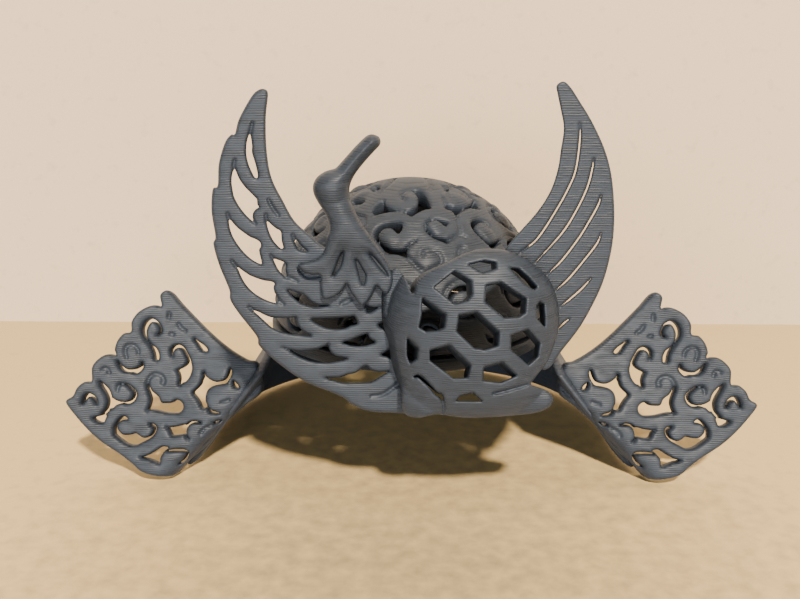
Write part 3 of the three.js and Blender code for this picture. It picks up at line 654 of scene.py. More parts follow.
TAIL_LINES = hundredths([
    [[169, 289], [169, 272], [165, 243], [158, 225], [146, 203], [127, 174], [110, 160]],
    [[183, 254], [181, 242], [176, 224], [165, 201], [151, 179], [125, 150]],
    [[190, 217], [187, 207], [177, 189], [167, 173], [151, 152], [136, 137]],
    [[190, 179], [186, 169], [173, 152], [158, 134], [145, 122]],
    [[180, 134], [172, 125], [161, 115], [150, 106]],
    [[159, 94], [154, 90], [148, 84]],
])
TURTLE_OUTLINE = hundredths([
    [-14, 144], [-17.5, 138], [-20.5, 131], [-22.7, 123], [-23, 112], [-22.7, 97], [-20, 84], [-16, 71], [-14, 57],
    [-11, 45], [-8.5, 34], [-8, 25], [-8, 16], [-8, 7], [-6.5, 1], [-2, -4], [9, -6], [19, -4], [29, -2.5],
    [41, -4], [54, -5.5], [67, -5.5], [81, -5], [95, -4], [109, -2.5], [121, -1.2], [132, 1.5], [140, 6],
    [143.5, 12.5], [141, 19], [134.5, 23.5], [127, 26], [121.5, 28.5], [125, 34], [132, 43], [138, 51], [144, 66],
    [149, 86], [148, 111], [139, 134], [122, 150], [103, 160], [84, 164], [63, 162], [40, 151], [22, 143],
    [14.2, 138], [9, 133], [6, 127], [5.5, 121.5], [3.5, 118.5], [0, 124], [-2, 130], [-5.5, 136], [-10, 142],
])
SHELL_HOLES = hundredths([
    [[59, 148], [75, 152], [86, 150], [86, 144], [73, 140]],
    [[100, 145], [109, 144], [119, 135], [127, 126], [125, 123], [116, 128]],
    [[25, 125], [45, 141], [61, 131], [62, 118], [57, 112], [45, 109]],
    [[77, 127], [91, 130], [116, 114], [115, 100], [109, 96], [95, 95], [76, 111]],
    [[127, 107], [130, 111], [134, 109], [135, 95], [135, 86], [128, 94]],
    [[13, 114], [36, 97.5], [34.5, 85], [29, 82], [17, 81], [10, 85], [12.7, 97]],
    [[50, 97], [67, 100], [89, 80], [88, 67], [75, 63], [65, 65], [48, 81]],
    [[102, 77], [118, 83], [130, 70], [128, 56], [119, 48], [102, 63]],
    [[-2, 74.6], [8.7, 64.5], [7.7, 53.5], [1, 48.5], [-2, 56.5]],
    [[21, 62], [40, 67], [61, 47], [58, 35], [45, 34], [21, 52]],
    [[75, 45], [93, 50], [107, 37], [91, 30], [74, 32]],
    [[46.4, 11.2], [51.5, 16.5], [63.5, 19.2], [72.6, 11.2]],
])
TURTLE_GROOVES = hundredths([
    [[84, 18.8, 0.3], [90, 20, 0.7], [98, 22.1, 0.8], [107, 24.7, 0.8], [117, 27.7, 0.6]],
    [[33, 12, 1], [34.5, 5, 0.8], [33, -2, 0.6]],
])
SHELL_SLIT = hundredths([
    [5, 35, 1.2], [9, 36, 2.5], [14, 32.4, 2.8], [21, 25.3, 2.5], [27, 18.3, 3], [31, 16.3, 4], [33, 12.3, 2],
])
# Middle line of the lower flipper
FIN_LINE = hundredths([
    [25, 0], [55, 3], [85, 8], [110, 12], [136, 12.5],
])
FLAP_OUTLINE = hundredths([
    [2, 6], [13, 10], [26, 17], [39, 26], [53, 38], [66, 51], [80, 66], [89, 77], [95, 80], [101, 75], [100, 64],
    [106, 65], [114, 63], [123, 57], [129, 48], [130, 38], [137, 36], [143, 29], [146, 20], [145, 14], [153, 15],
    [161, 11], [168, 2], [169, -12], [176, -13], [183, -19], [187, -27], [193, -31], [193, -36], [183, -51],
    [173, -63], [160, -75], [142, -87], [130, -96], [120, -104], [106, -108], [93, -109], [84, -107], [71, -93],
    [55, -79], [35, -55], [15, -37], [-4, -20],
])
FLAP_SLOTS = hundredths([
    [[104.5, 34.5, 0.8], [101.5, 37, 2], [101, 41, 2], [103, 45.5, 1.8], [106, 48.5, 2.2], [110.5, 49.5, 3.5],
     [114.5, 46, 4.5], [116.7, 41, 4.3], [116.8, 35, 3.2], [114.2, 29, 1.2], [110.8, 24, 1.6], [107.5, 20, 4],
     [105.8, 15, 5], [105.5, 11, 4.6]],
    [[143.5, 8, 1], [141.5, 4.5, 2], [139, 0.5, 3.5], [135, -1.8, 3], [130.5, -2, 2.4], [126.5, -2.3, 4.5],
     [122.5, 0, 4], [120, 3, 2.5], [119.7, 6.5, 1.6]],
    [[89.5, 13, 1], [90.2, 16, 2.2], [89.5, 20, 2.8], [86.5, 22.7, 3.2], [83, 23.2, 2.8], [79.5, 21.5, 2.4],
     [76.5, 17, 2.2], [74, 12, 2.4], [72.5, 8, 3]],
    [[67.5, 30.5, 1.5], [64, 27, 2.4], [60.5, 23.5, 4.5], [57.5, 20.5, 5], [55, 19.5, 2]],
    [[142, -15.5, 0.8], [138, -15, 1.2], [133.5, -17, 1.8], [129.5, -20.5, 2.4], [127.2, -25, 3], [128.5, -30, 3],
     [132, -33.5, 2.5], [136, -34.8, 1.8], [140.5, -34.3, 1.5]],
    [[178, -35, 1.2], [176, -30, 3], [173, -26.5, 3.5], [169, -27.5, 3], [166, -31, 2.5], [164.5, -35, 1.5]],
    [[161, -13, 1.5], [158, -17.5, 4], [154.5, -23, 5], [152.5, -29, 4.5], [152.5, -35, 4], [154.5, -41, 3.5],
     [159, -46, 2.5]],
    [[59, -54, 0.8], [65, -53.3, 1.5], [70, -54.3, 1.8], [73.5, -57.5, 2], [75, -62, 2], [74.3, -67, 1.5],
     [71.5, -70.5, 1]],
    [[46, -54.5, 1.5], [42, -53.3, 2.8], [38, -51.5, 1.2]],
    [[94, -83, 1.5], [85, -82.3, 2.5], [76, -82.5, 2.5], [72.2, -85, 2], [73.5, -89, 2.5], [76.5, -93, 2.3],
     [81, -96, 1.2]],
    [[57.5, -2.5, 1], [57.5, -6, 2.5]],
    [[53, -38.5, 1.2], [49, -42.5, 2.5], [44, -43.8, 2], [40, -44.5, 0.8]],
    [[27, -11.5, 1.2], [24, -16, 4], [21, -18.5, 1.5]],
])
FLAP_HOLES = hundredths([
    [[72.5, 11], [70.5, 5], [70, 0], [72, -7], [76, -12.5], [79, -13.5], [81.5, -16.5], [83, -15], [82.5, -9],
     [84, -3], [85.5, -1.5], [83, 0], [79, 2], [75.5, 5], [74, 8.5]],
    [[115, -15], [113.5, -16], [112, -19.5], [110, -23], [105, -27], [103, -29.5], [102, -32.5], [100, -34.6],
     [95, -34.8], [90, -34.3], [87, -32], [84, -31.3], [80.5, -33], [78.2, -37], [79, -41.5], [83, -44.5],
     [88, -45], [97, -44.3], [104, -42.5], [112, -41.3], [115, -42.5], [113.5, -39], [112, -34], [112, -29],
     [113.5, -24], [115.2, -19]],
    [[150.5, -29.5], [146, -32], [140.5, -34.3], [146, -36.5], [150.5, -40.5], [151.5, -35]],
    [[169, -50], [163, -48], [156, -46.5], [157, -51], [159, -54.5], [164, -54]],
    [[134.5, -51.3], [137, -48.5], [140.5, -48.8], [144, -52], [147, -56.5], [148.5, -61], [148.5, -66], [147, -68],
     [142, -72], [137, -75.5], [132, -77.5], [126, -77.5], [120, -74.5], [113, -71], [108.5, -67.5], [105.7, -63],
     [105.5, -58.5], [108.5, -56], [112.5, -55.3], [111.5, -57.3], [108.7, -59.5], [108.4, -62.5], [110, -66],
     [113, -69], [118, -70], [122, -68.5], [126, -65.7], [132, -67], [139, -67], [143, -64], [145, -60.5],
     [145, -57], [143, -54], [140.5, -52.2]],
    [[95, -58.5], [92, -59.2], [84, -58.3], [79, -57], [75, -56.3], [75, -60], [75, -65], [80, -66.5], [88, -67.5],
     [90.5, -65.5], [92, -62]],
    [[121, -89.5], [114.5, -88], [108, -84.5], [102, -80.5], [97, -78.5], [92, -79.5], [95, -82], [98.5, -86],
     [100.5, -90], [101, -95.5], [107, -93.5], [113, -91.5]],
    [[57, -6.5], [55, -7.5], [51, -10.5], [46, -12.5], [41, -12.5], [36, -10.5], [33, -6], [31.5, -1.5], [30, 1.5],
     [28.5, -2], [29.5, -7], [33.5, -13.5], [39, -15], [45, -16], [50, -18], [53.5, -21.5], [55.2, -27], [55, -32],
     [53, -37], [56.5, -39.5], [59.5, -38], [61, -34.5], [64.5, -29], [68.5, -24], [65, -20], [61, -15.5],
     [59.5, -11]],
])
FLAP_GROOVES = hundredths([
    [[91.7, 57, 0.8], [92, 54.5, 1.6], [92.2, 52, 1]],
    [[83, 46, 1], [80.5, 42, 1.4], [76, 39, 1]],
    [[90.5, 35.7, 1.5], [88.5, 35.2, 1.5]],
    [[134, 12, 1], [135.1, 16, 1.3], [135.1, 20, 1.3], [133, 23.5, 1.5], [129, 24.5, 1.3], [125.5, 23, 1],
     [122.8, 19.5, 1], [122.5, 16, 0.8]],
    [[157.5, -0.5, 0.8], [154.5, 1, 1.3], [152.2, -0.5, 1.5], [151.2, -3.5, 1.3]],
    [[98.5, -14, 2.6], [97.8, -11, 2], [99.5, -7.5, 1.6], [103, -5.5, 1.5], [107, -5.3, 1.5], [111, -7.5, 1.3],
     [113.2, -11, 1.3], [114.4, -15, 1.8]],
    [[143.7, -21.5, 0.8], [143.2, -18, 1], [141, -15.2, 1]],
    [[58.5, -64.5, 1.8], [56.5, -61.5, 1.8], [53.5, -59, 1.3], [49.5, -57.3, 1]],
    [[38, -33.3, 1], [34, -32.5, 1.5], [30.5, -30.8, 1.8]],
    [[28.5, -42.8, 1.5], [25, -40.8, 1.2]],
    [[116.8, 34, 1.6], [114.2, 28.7, 1.4], [111, 24, 1.6]],
])
# The bowl's gaps seen from the front, in the crest's grid steps
BOWL_GAPS = hundredths([
    [[-38.9, 222.6], [-33.7, 224.8], [-30.4, 224], [-31.5, 221.5], [-36.3, 220], [-37.8, 221.5]],
    [[-58.7, 207.9], [-57.9, 210.1], [-52.8, 211.2], [-46.9, 211.2], [-46.2, 209.7], [-48.4, 207.9], [-52.8, 206.9],
     [-57.2, 206.8]],
    [[0, 221.1], [4.4, 222.1], [10.3, 221.1], [14.7, 217.8], [17.6, 212.7], [20.5, 204.2], [16.1, 203.1],
     [10.3, 201.3], [1.5, 196.4], [-1.5, 198], [-4.4, 199.8], [2.2, 202], [5.1, 204.2], [7.3, 206.8], [8.1, 210.5],
     [8.1, 214.1], [6.2, 217.4], [3.3, 220]],
    [[-26.4, 210.8], [-30.1, 209], [-34.5, 205.3], [-37.4, 200.9], [-36.7, 198], [-30.8, 198.7], [-22.7, 200.3],
     [-14.7, 201.8], [-18.3, 203.1], [-22.7, 205], [-25.3, 207.5]],
    [[-12.1, 178.6], [-10.3, 180.4], [-8.4, 183.3], [-8.1, 186.3], [-9.2, 188.5], [-13.2, 189.6], [-19.1, 189.6],
     [-24.9, 188.1], [-30.1, 185.9], [-33.7, 182.6], [-35.6, 178.2], [-35.2, 174.5], [-33.7, 171.6], [-30.1, 167.2],
     [-24.9, 160.6], [-22.7, 158.4], [-13.2, 158], [-3.7, 155.1], [-3.7, 158.4], [-3.3, 162.1], [-1.5, 165],
     [1.5, 167.9], [6.2, 172], [1.5, 169.4], [-2.2, 166.1], [-5.1, 163.9], [-9.5, 162.8], [-14.7, 162.8],
     [-19.8, 163.5], [-24.2, 165.7], [-28.6, 168.7], [-31.5, 172.3], [-32.3, 175.6], [-31.2, 178.9], [-28.6, 181.9],
     [-24.9, 183.7], [-20.5, 184.4], [-17.2, 183.3], [-14.7, 181.1]],
    [[35.4, 186.1], [37.1, 188.4], [36.8, 190.1], [34.1, 191.4], [30.7, 192.1], [26.1, 192.8], [22, 192.8],
     [18.7, 191.4], [16, 189.1], [14.7, 185.7], [15.3, 182.4], [18, 178.7], [21.4, 176], [24, 174], [32.1, 171],
     [36.8, 169], [39.5, 171.7], [42.8, 174.4], [49.5, 178.7], [44.8, 176.7], [40.8, 174.4], [37.1, 173],
     [33.4, 173.7], [28.7, 174.4], [24.7, 175.7], [22, 177.7], [18.7, 180.7], [16.7, 183.7], [16.3, 186.4],
     [18, 189.1], [20.7, 190.8], [24.7, 192.1], [27.4, 191.4], [30.1, 189.4], [32.8, 187.4]],
    [[78.3, 184.3], [75.3, 188.4], [71.6, 190.1], [68.9, 190.1], [66.6, 188.8], [64.6, 186.1], [64.9, 183.1],
     [67.6, 179.4], [71.6, 175.7], [75.6, 171.7], [81.6, 169], [91, 172.3], [89.7, 169], [86.3, 167], [82.3, 163.5],
     [78.3, 167], [74.3, 171], [70.9, 174], [66.9, 177.7], [63.6, 181.4], [61.6, 185.1], [60.9, 188.1],
     [62.2, 190.8], [65.6, 192.4], [69.6, 192.1], [73.6, 190.8], [77, 187.4]],
    [[35.4, 222.6], [37.1, 224.6], [38.1, 222.9], [37.1, 220.6]],
    [[34.1, 209.8], [36.8, 208.5], [40.1, 207.2], [43.5, 205.5], [47.5, 205.2], [51.5, 204.8], [55.5, 205.5],
     [60.9, 207.8], [63.6, 211.2], [65.6, 209.2], [67.6, 205.2], [64.9, 203.8], [56.9, 204.5], [53.5, 203.2],
     [50.2, 201.1], [45.8, 197.7], [43.5, 199.8], [40.8, 201.5], [35.4, 203.2], [34.8, 206.5]],
])
# Its fine grooves, with their widths in hundredths of a step
BOWL_GROOVES = hundredths([
    [[15, 233.5, 180], [19, 227, 180], [20, 220, 140]],
    [[-15, 232.5, 180], [-21, 227, 180], [-27, 222, 160], [-30, 218, 120]],
    [[33, 225, 140], [36, 217, 180], [35, 208, 160]],
    [[-14.7, 201.8, 120], [-11, 200.9, 120], [-5.1, 200.2, 120]],
    [[-8.8, 212.7, 140], [-9.5, 215.6, 140], [-8.1, 218.5, 140], [-4.4, 220.7, 140], [0, 221.1, 140]],
    [[-7.3, 213.8, 120], [-6.6, 211.6, 120], [-4.4, 210.1, 120]],
    [[12.5, 155.8, 120], [12.8, 158, 140], [16.1, 160.6, 240], [20.5, 161.5, 300], [24.9, 159.9, 300],
     [28.6, 157.7, 200], [31.7, 151.6, 160], [29.3, 147.4, 160], [23.5, 143.7, 180], [16.1, 139.5, 300],
     [11.7, 141.5, 200], [6.6, 145.2, 160], [2.2, 149.6, 160], [-3.7, 155.5, 120]],
    [[-38.1, 195.1, 140], [-30.8, 198.4, 140], [-22, 200.6, 140], [-13.2, 200.9, 140], [-5.1, 199.8, 140],
     [1.5, 196.5, 140]],
    [[59.5, 213.2, 160], [56.9, 216.5, 160], [51.5, 219.9, 160], [46.8, 222.6, 160], [40.8, 224.6, 160],
     [37.1, 224.3, 160]],
    [[33.4, 213.9, 140], [33.4, 210.5, 140], [34.8, 208.5, 140]],
    [[47.5, 157.3, 220], [48.5, 161.6, 220], [50.5, 164.3, 220], [53.5, 164, 220]],
    [[39.5, 171.7, 120], [44.1, 174.7, 120], [50.2, 175.7, 120], [55.5, 174.4, 120]],
    [[45.8, 197.5, 90], [47.8, 188.4, 90], [49.5, 178.7, 90]],
    [[45.5, 197.7, 140], [50.2, 201.1, 140], [56.9, 204.5, 140], [60.9, 204.5, 140], [67.6, 202.5, 140]],
])
# The round curls between them: place and radius
BOWL_BALLS = hundredths([
    [-1, 212, 8], [-22, 174, 11], [26, 184, 10], [76, 178, 10], [47.5, 213, 10], [17, 152.5, 13], [-48, 216, 8],
])
# The crane's petals, neck, head and beak
CRANE_OUTLINE = hundredths([
    [-94, 152.5], [-101, 150.2], [-108.6, 148.4], [-112.3, 146.3], [-108.6, 141.3], [-104, 138.3], [-97, 136.8],
    [-90, 136.2], [-89.3, 124], [-87.8, 116], [-84.8, 112.5], [-77.9, 114], [-71, 118.1], [-65.5, 124.5],
    [-63.2, 128.5], [-60.5, 122.3], [-56.3, 115.6], [-51.3, 109], [-47.2, 106.5], [-42.2, 110.7], [-38.9, 115.6],
    [-36.4, 120.6], [-33.1, 126.4], [-29, 121.4], [-23.2, 118], [-19, 123], [-17, 132], [-18, 139], [-22, 150],
    [-30.6, 163.2], [-41.6, 178.6], [-50.4, 191.8], [-57, 205], [-60, 213.8], [-60.7, 223.5], [-58.3, 232],
    [-53.3, 240.5], [-45, 251], [-36.4, 260.6], [-30.6, 267], [-30, 272], [-33, 276.2], [-42, 277.2], [-53, 267.7],
    [-62.2, 257.5], [-69, 249.8], [-74.5, 244], [-79, 242.4], [-85.6, 240.2], [-93.3, 234.7], [-97.2, 227],
    [-96.6, 218.2], [-92.2, 209.4], [-86.7, 200.6], [-82.3, 191.8], [-81.2, 183], [-83.4, 174.2], [-84.5, 166],
    [-87.8, 158],
])
# The crane's head: [u, v, radius, height in millimetres]
CRANE_HEAD = [-0.79, 2.25, 0.17, 0.6]
SKIRT_HOLES = hundredths([
    [[-67.1, 159.2], [-67.9, 152], [-69.5, 146.3], [-72.9, 140.5], [-77, 135.5], [-77, 138], [-74.5, 143.8],
     [-71.2, 152.1], [-68.8, 157.1]],
    [[-54, 152.1], [-51.3, 148.8], [-48, 143], [-44.7, 137.2], [-45, 130.6], [-47.2, 126.8], [-49.7, 132.2],
     [-51.3, 138.9], [-53, 145.5]],
    [[-40.2, 157.9], [-36.4, 154.6], [-31.4, 148.8], [-26.5, 143], [-22.3, 136.4], [-25.6, 139.7], [-29.8, 143.8],
     [-34.8, 150.4], [-38.9, 155.5]],
])
# Scroll that the bowl repeats at its sides and back, in shares of its breadth: [east, north, width]
SCROLL_LINE = hundredths([
    [11, 8, 4], [15, 18, 9], [0, 24, 10], [-21, 18, 9], [-34, 2, 7], [-33, -15, 5], [-20, -30, 7], [0, -36, 11],
    [26, -34, 11], [42, -16, 3],
])
SCROLL_BANK = hundredths([
    [-46, -2, 3], [-40, 20, 4], [-22, 36, 4], [2, 41, 4], [24, 34, 4], [36, 18, 3],
])
# Rows of the bowl: [latitude, scrolls in the row, longitude of the first, hand, size]
BOWL_ROWS = [
    [67, 7, -91.5, -1, 1], [48.5, 12, -100.4, 1, 1], [34.3, 13, -82, -1, 1], [21, 13, -95, 1, 1],
    [8.6, 12, -83, -1, 0.82],
]


class Crest:
    """The crest: crane's wing and turtle's tail as horns, and the figures in front of them."""

    def __init__(self, sizes: CrestSizes) -> None:
        """Takes the sizes.

        Args:
            sizes: Sizes of the crest.
        """
        self.s = sizes
        self.plane = CrestPlane(sizes)

    def wing(self) -> bpy.types.Object:
        """The crane's wing.

        Returns:
            Its object.
        """
        drawing = Drawing(self.s.grid, WING_OUTLINE, WING_HOLES + SKIRT_HOLES, grooves=WING_GROOVES)
        sheet = Sheet("wing_feathers", drawing, Detail.FINE, self.s.wall + self.s.thicker,
                      self.s.wing_edge, self.plane.flat(-self.s.thicker / 2))
        sheet.swell(*self.s.swell)
        obj = sheet.build()
        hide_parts("crane_wing")
        return obj

    def tail(self) -> bpy.types.Object:
        """The turtle's tail.

        Returns:
            Its object.
        """
        end = self.s.slot * self.s.slot_end
        slots = [[[*rows[0], end]] + [[u, v, self.s.slot] for u, v in rows[1:-1]] + [[*rows[-1], end]]
                 for rows in TAIL_LINES]
        drawing = Drawing(self.s.grid, TAIL_OUTLINE, slots=slots)
        sheet = Sheet("tail_plume", drawing, Detail.FINE, self.s.wall + self.s.tail_thicker,
                      self.s.tail_edge, self.plane.flat(-self.s.tail_thicker / 2))
        obj = sheet.build()
        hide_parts("turtle_tail")
        return obj


class Flap:
    """Side flap, dished and pierced with curls."""

    def __init__(self, sizes: FlapSizes, hand: int) -> None:
        """Takes the sizes and the side.

        Args:
            sizes: Sizes of the flap.
            hand: -1 on the left and 1 on the right, seen from the front.
        """
        self.s, self.hand = sizes, hand
        lean = math.radians(sizes.lean)
        self.outward = np.array([1.0, 0, 0])
        self.upward = np.array([0, math.sin(lean), math.cos(lean)])
        self.facing = np.cross(self.outward, self.upward)
        self.away = np.array(sizes.away) / np.linalg.norm(sizes.away)
        low = np.array(FLAP_OUTLINE) * sizes.grid
        height = sizes.foot - self.offset(low[:, 0], low[:, 1], np.full(len(low), -sizes.part_wall)).min(0)[2]
        self.corner = np.array([sizes.x, -sizes.y, height])

    def offset(self, x: np.ndarray, y: np.ndarray, h: np.ndarray) -> np.ndarray:
        """Points of the flap from its inner upper corner.

        Args:
            x: Millimetres outward.
            y: Millimetres upward.
            h: Millimetres in front of the front face.

        Returns:
            The points.
        """
        a, b = x / self.s.grid, y / self.s.grid
        across = (a + b * 0.75 + 0.1) / 1.7
        dish = self.s.dish * 4 * across * (1 - across)
        edge = np.clip(1 - (0.735 * a + 0.678 * (b + 0.16)) / self.s.fold_share, 0, 1)
        fold = self.s.fold * (1 - np.sqrt(1 - edge**2))
        flat = x[:, None] * self.outward + y[:, None] * self.upward + (h - dish)[:, None] * self.facing
        return flat + fold[:, None] * self.away

    def place(self, x: np.ndarray, y: np.ndarray, h: np.ndarray) -> np.ndarray:
        """Carries the flap's points to the helmet; see offset.

        Args:
            x: Millimetres outward.
            y: Millimetres upward.
            h: Millimetres over the middle of the sheet.

        Returns:
            The points.
        """
        p = self.offset(x, y, h - self.s.wall / 2) + self.corner
        p[:, 0] *= self.hand
        return p

    def build(self) -> bpy.types.Object:
        """Makes the flap.

        Returns:
            Its object.
        """
        side = "left" if self.hand < 0 else "right"
        drawing = Drawing(self.s.grid, FLAP_OUTLINE, FLAP_HOLES, FLAP_SLOTS, FLAP_GROOVES)
        sheet = Sheet(f"{side}_curls", drawing, Detail.MEDIUM, self.s.wall, self.s.edge, self.place)
        sheet.swell(*self.s.swell)
        obj = sheet.build()
        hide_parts(f"{side}_flap")
        return obj


def loft(rings: np.ndarray, closed: bool = False, caps: bool = True) -> tuple:
    """Skin over a row of rings.

    Args:
        rings: Points of each ring, all with the same count.
        closed: Whether the last ring joins the first.
        caps: Whether the ends are closed.

    Returns:
        Points and faces, with the faces outward when the rings run anticlockwise seen from the last.
    """
    count, size = rings.shape[:2]
    faces = []
    for i in range(count if closed else count - 1):
        a, b = i * size, ((i + 1) % count) * size
        faces += [[a + j, a + (j + 1) % size, b + (j + 1) % size, b + j] for j in range(size)]
    if caps and not closed:
        faces += [list(range(size))[::-1], [(count - 1) * size + j for j in range(size)]]
    return rings.reshape(-1, 3), faces


class Bowl:
    """The bowl, pierced with cloud scrolls, and the band under it."""

    def __init__(self, sizes: BowlSizes, plane: CrestPlane, eye: tuple) -> None:
        """Takes the sizes.

        Args:
            sizes: Sizes of the bowl.
            plane: The crest's plane, in whose grid steps the front is drawn.
            eye: Where the drawing of the front is seen from, in millimetres round the bowl's axis.
        """
        self.s, self.plane, self.eye = sizes, plane, np.array(eye)

    def onto(self, rows: list) -> np.ndarray:
        """Carries rows of the front's drawing along the line of sight to the bowl.

        Args:
            rows: Rows of u, v and, where the row has one, a width.

        Returns:
            The rows in the bowl's flat drawing: x, y and width, in millimetres.
        """
        p = np.array(rows, float)
        ray = self.plane.point(p[:, 0], p[:, 1], np.zeros(len(p))) - self.eye
        ray /= np.linalg.norm(ray, axis=1)[:, None]
        middle = self.eye - np.array([0, 0, self.s.height])
        b = ray @ middle
        far = b * b - middle @ middle + self.s.radius**2
        hit = middle + ray * (-b - np.sqrt(np.maximum(far, 0)))[:, None]
        down = np.arccos(np.clip(hit[:, 2] / np.linalg.norm(hit, axis=1), -1, 1))
        round_ = np.arctan2(hit[:, 1], hit[:, 0])
        out = self.s.radius * down
        flat = [out * np.cos(round_), out * np.sin(round_)]
        if p.shape[1] > 2:
            flat.append(p[:, 2] * self.s.sight)
        return np.stack(flat, 1)

    def scroll(self, table: list, row: list, i: int) -> list:
        """One scroll of a row.

        Args:
            table: Its line, in shares of its breadth.
            row: The row: latitude, count, first longitude, hand and size.
            i: Which scroll of the row.

        Returns:
            The line in the flat drawing.
        """
        latitude, count, first, hand, size = row
        step = math.degrees(size * self.s.scroll / self.s.radius)
        middle = first + i * 360 / count
        out = []
        for east, north, width in table:
            up = latitude + north * step
            round_ = math.radians(middle + hand * east * step / math.cos(math.radians(up)))
            r = self.s.radius * math.radians(90 - up)
            out.append([r * math.cos(round_), r * math.sin(round_), width * self.s.scroll * size])
        return out

    def taken(self, row: list, i: int, place: list, drawn: np.ndarray) -> bool:
        """Whether the front's own drawing takes a scroll's place.

        Args:
            row: The scroll's row.
            i: Which scroll of the row.
            place: The scroll's middle in the flat drawing.
            drawn: Points of the front's drawing.

        Returns:
            Whether it does.
        """
        middle = (row[2] + i * 360 / row[1] + 180) % 360 - 180
        front = row[0] > 30 and -150 < middle < -30 or row[0] > 60 and -170 < middle < -10
        return front and bool((np.hypot(*(drawn - place).T) < self.s.apart).any())

    def drawing(self) -> Drawing:
        """The bowl's flat drawing.

        Returns:
            The drawing, in millimetres.
        """
        edge = self.s.radius * math.pi / 2
        turn = [2 * math.pi * i / 72 for i in range(72)]
        d = Drawing(1.0, [[edge * math.cos(a), edge * math.sin(a)] for a in turn])
        d.holes = [self.onto(rows).tolist() for rows in BOWL_GAPS]
        d.grooves = [self.onto(rows).tolist() for rows in BOWL_GROOVES]
        places = self.onto(BOWL_BALLS)
        d.domes = [[x, y, self.s.ball_wide * width, self.s.dome] for x, y, width in places]
        drawn = np.concatenate([np.array(rows)[:, :2] for rows in d.holes + d.grooves] + [places[:, :2]])
        for row in BOWL_ROWS:
            for i in range(row[1]):
                x, y, _ = self.scroll([[-0.02, -0.02, 1]], row, i)[0]
                if self.taken(row, i, [x, y], drawn):
                    continue
                d.slots.append(self.scroll(SCROLL_LINE, row, i))
                d.grooves.append(self.scroll(SCROLL_BANK, row, i))
                d.domes.append([x, y, self.s.dome_wide * self.s.scroll * row[4], self.s.dome])
        return d

    def place(self, x: np.ndarray, y: np.ndarray, h: np.ndarray) -> np.ndarray:
        """Carries the flat drawing to the dome.

        Args:
            x: Millimetres across.
            y: Millimetres along.
            h: Millimetres over the middle of the wall.

        Returns:
            The points.
        """
        out = np.maximum(np.hypot(x, y), 1e-9)
        down = out / self.s.radius
        r = self.s.radius - (self.s.wall + self.s.thicker) / 2 + h
        return np.stack([x / out * r * np.sin(down), y / out * r * np.sin(down),
                         self.s.height + r * np.cos(down)], -1)

    def build(self) -> list:
        """Makes the bowl and its band.

        Returns:
            Their objects.
        """
        sheet = Sheet("bowl_clouds", self.drawing(), Detail.COARSE, self.s.wall + self.s.thicker, self.s.edge,
                      self.place)
        sheet.swell(*self.s.swell)
        bowl = sheet.build()
        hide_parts("bowl")
        top = self.s.height - self.s.clear
        inner, outer = self.s.radius - self.s.wall, self.s.radius + self.s.band_out
        rings = []
        ring = rounded_profile(outer - inner, self.s.band_high, self.s.band_edge)
        r = (inner + outer) / 2 + ring[:, 0]
        for a in 2 * math.pi * np.arange(self.s.band_steps) / self.s.band_steps:
            rings.append(np.stack([r * math.cos(a), r * math.sin(a), top - self.s.band_high / 2 + ring[:, 1]], 1))
        band = make_object("bowl_ring", *loft(np.array(rings), closed=True))
        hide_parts("bowl_band")
        return [bowl, band]


def rounded_profile(wide: float, high: float, r: float, per: int = 5) -> np.ndarray:
    """Rectangle with rounded corners, clockwise from its upper right.

    Args:
        wide: Its breadth.
        high: Its height.
        r: Radius of its corners.
        per: Steps in a corner.

    Returns:
        Its points round its middle.
    """
    out = []
    for k, (sx, sy) in enumerate([(1, 1), (1, -1), (-1, -1), (-1, 1)]):
        for j in range(per + 1):
            a = math.pi / 2 * (1 - k - j / per)
            out.append([sx * (wide / 2 - r) + r * math.cos(a), sy * (high / 2 - r) + r * math.sin(a)])
    return np.array(out)


class Guard:
    """The neck guard: a flared sheet in a horseshoe."""

    def __init__(self, sizes: GuardSizes) -> None:
        """Takes the sizes.

        Args:
            sizes: Sizes of the guard.
        """
        self.s = sizes

    def at(self, c: float, n: float, leg: float, level: float, depth: float) -> list:
        """Point of the guard.

        Args:
            c: Cosine of the turn round the axis.
            n: Its sine.
            leg: Share of the way to the front end, or 0 behind the middle.
            level: Share of the way down.
            depth: Millimetres in from the outer face.

        Returns:
            The point.
        """
        s = self.s
        lift = s.lift * (1 - n**8)
        r = s.top + (s.low - s.top) * level - depth
        length = s.legs[0] + (s.legs[1] - s.legs[0]) * level
        z = lift + (s.height - s.drop * leg * leg - lift) * (1 - level)
        return [c * (r + s.spread * leg * leg), n * r - length * leg, z]

    def build(self) -> bpy.types.Object:
        """Makes the guard.

        Returns:
            Its object.
        """
        legs = self.s.leg_steps
        stops = [(-1, 0, 1 - i / legs) for i in range(legs)]
        stops += [(math.cos(a), math.sin(a), 0) for a in np.linspace(math.pi, 0, self.s.turn_steps)]
        stops += [(1, 0, (i + 1) / legs) for i in range(legs)]
        slant = math.hypot(self.s.height, self.s.low - self.s.top)
        steps = [i / self.s.down_steps for i in range(self.s.down_steps + 1)]
        turn = np.linspace(0.3, 2.8, 7)
        rings = []
        for c, n, leg in stops:
            middle = self.s.wall / 2
            half = middle * (self.s.end_share if leg == 1 else 1)
            r = half / slant
            path = [(r + (1 - 2 * r) * t, middle - half) for t in steps]
            path += [(1 - r + r * math.sin(a), middle - half * math.cos(a)) for a in turn]
            path += [(r + (1 - 2 * r) * t, middle + half) for t in reversed(steps)]
            path += [(r - r * math.sin(a), middle + half * math.cos(a)) for a in turn]
            rings.append([self.at(c, n, leg, level, depth) for level, depth in path])
        guard = make_object("guard_sheet", *loft(np.array(rings)))
        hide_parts("neck_guard")
        return guard


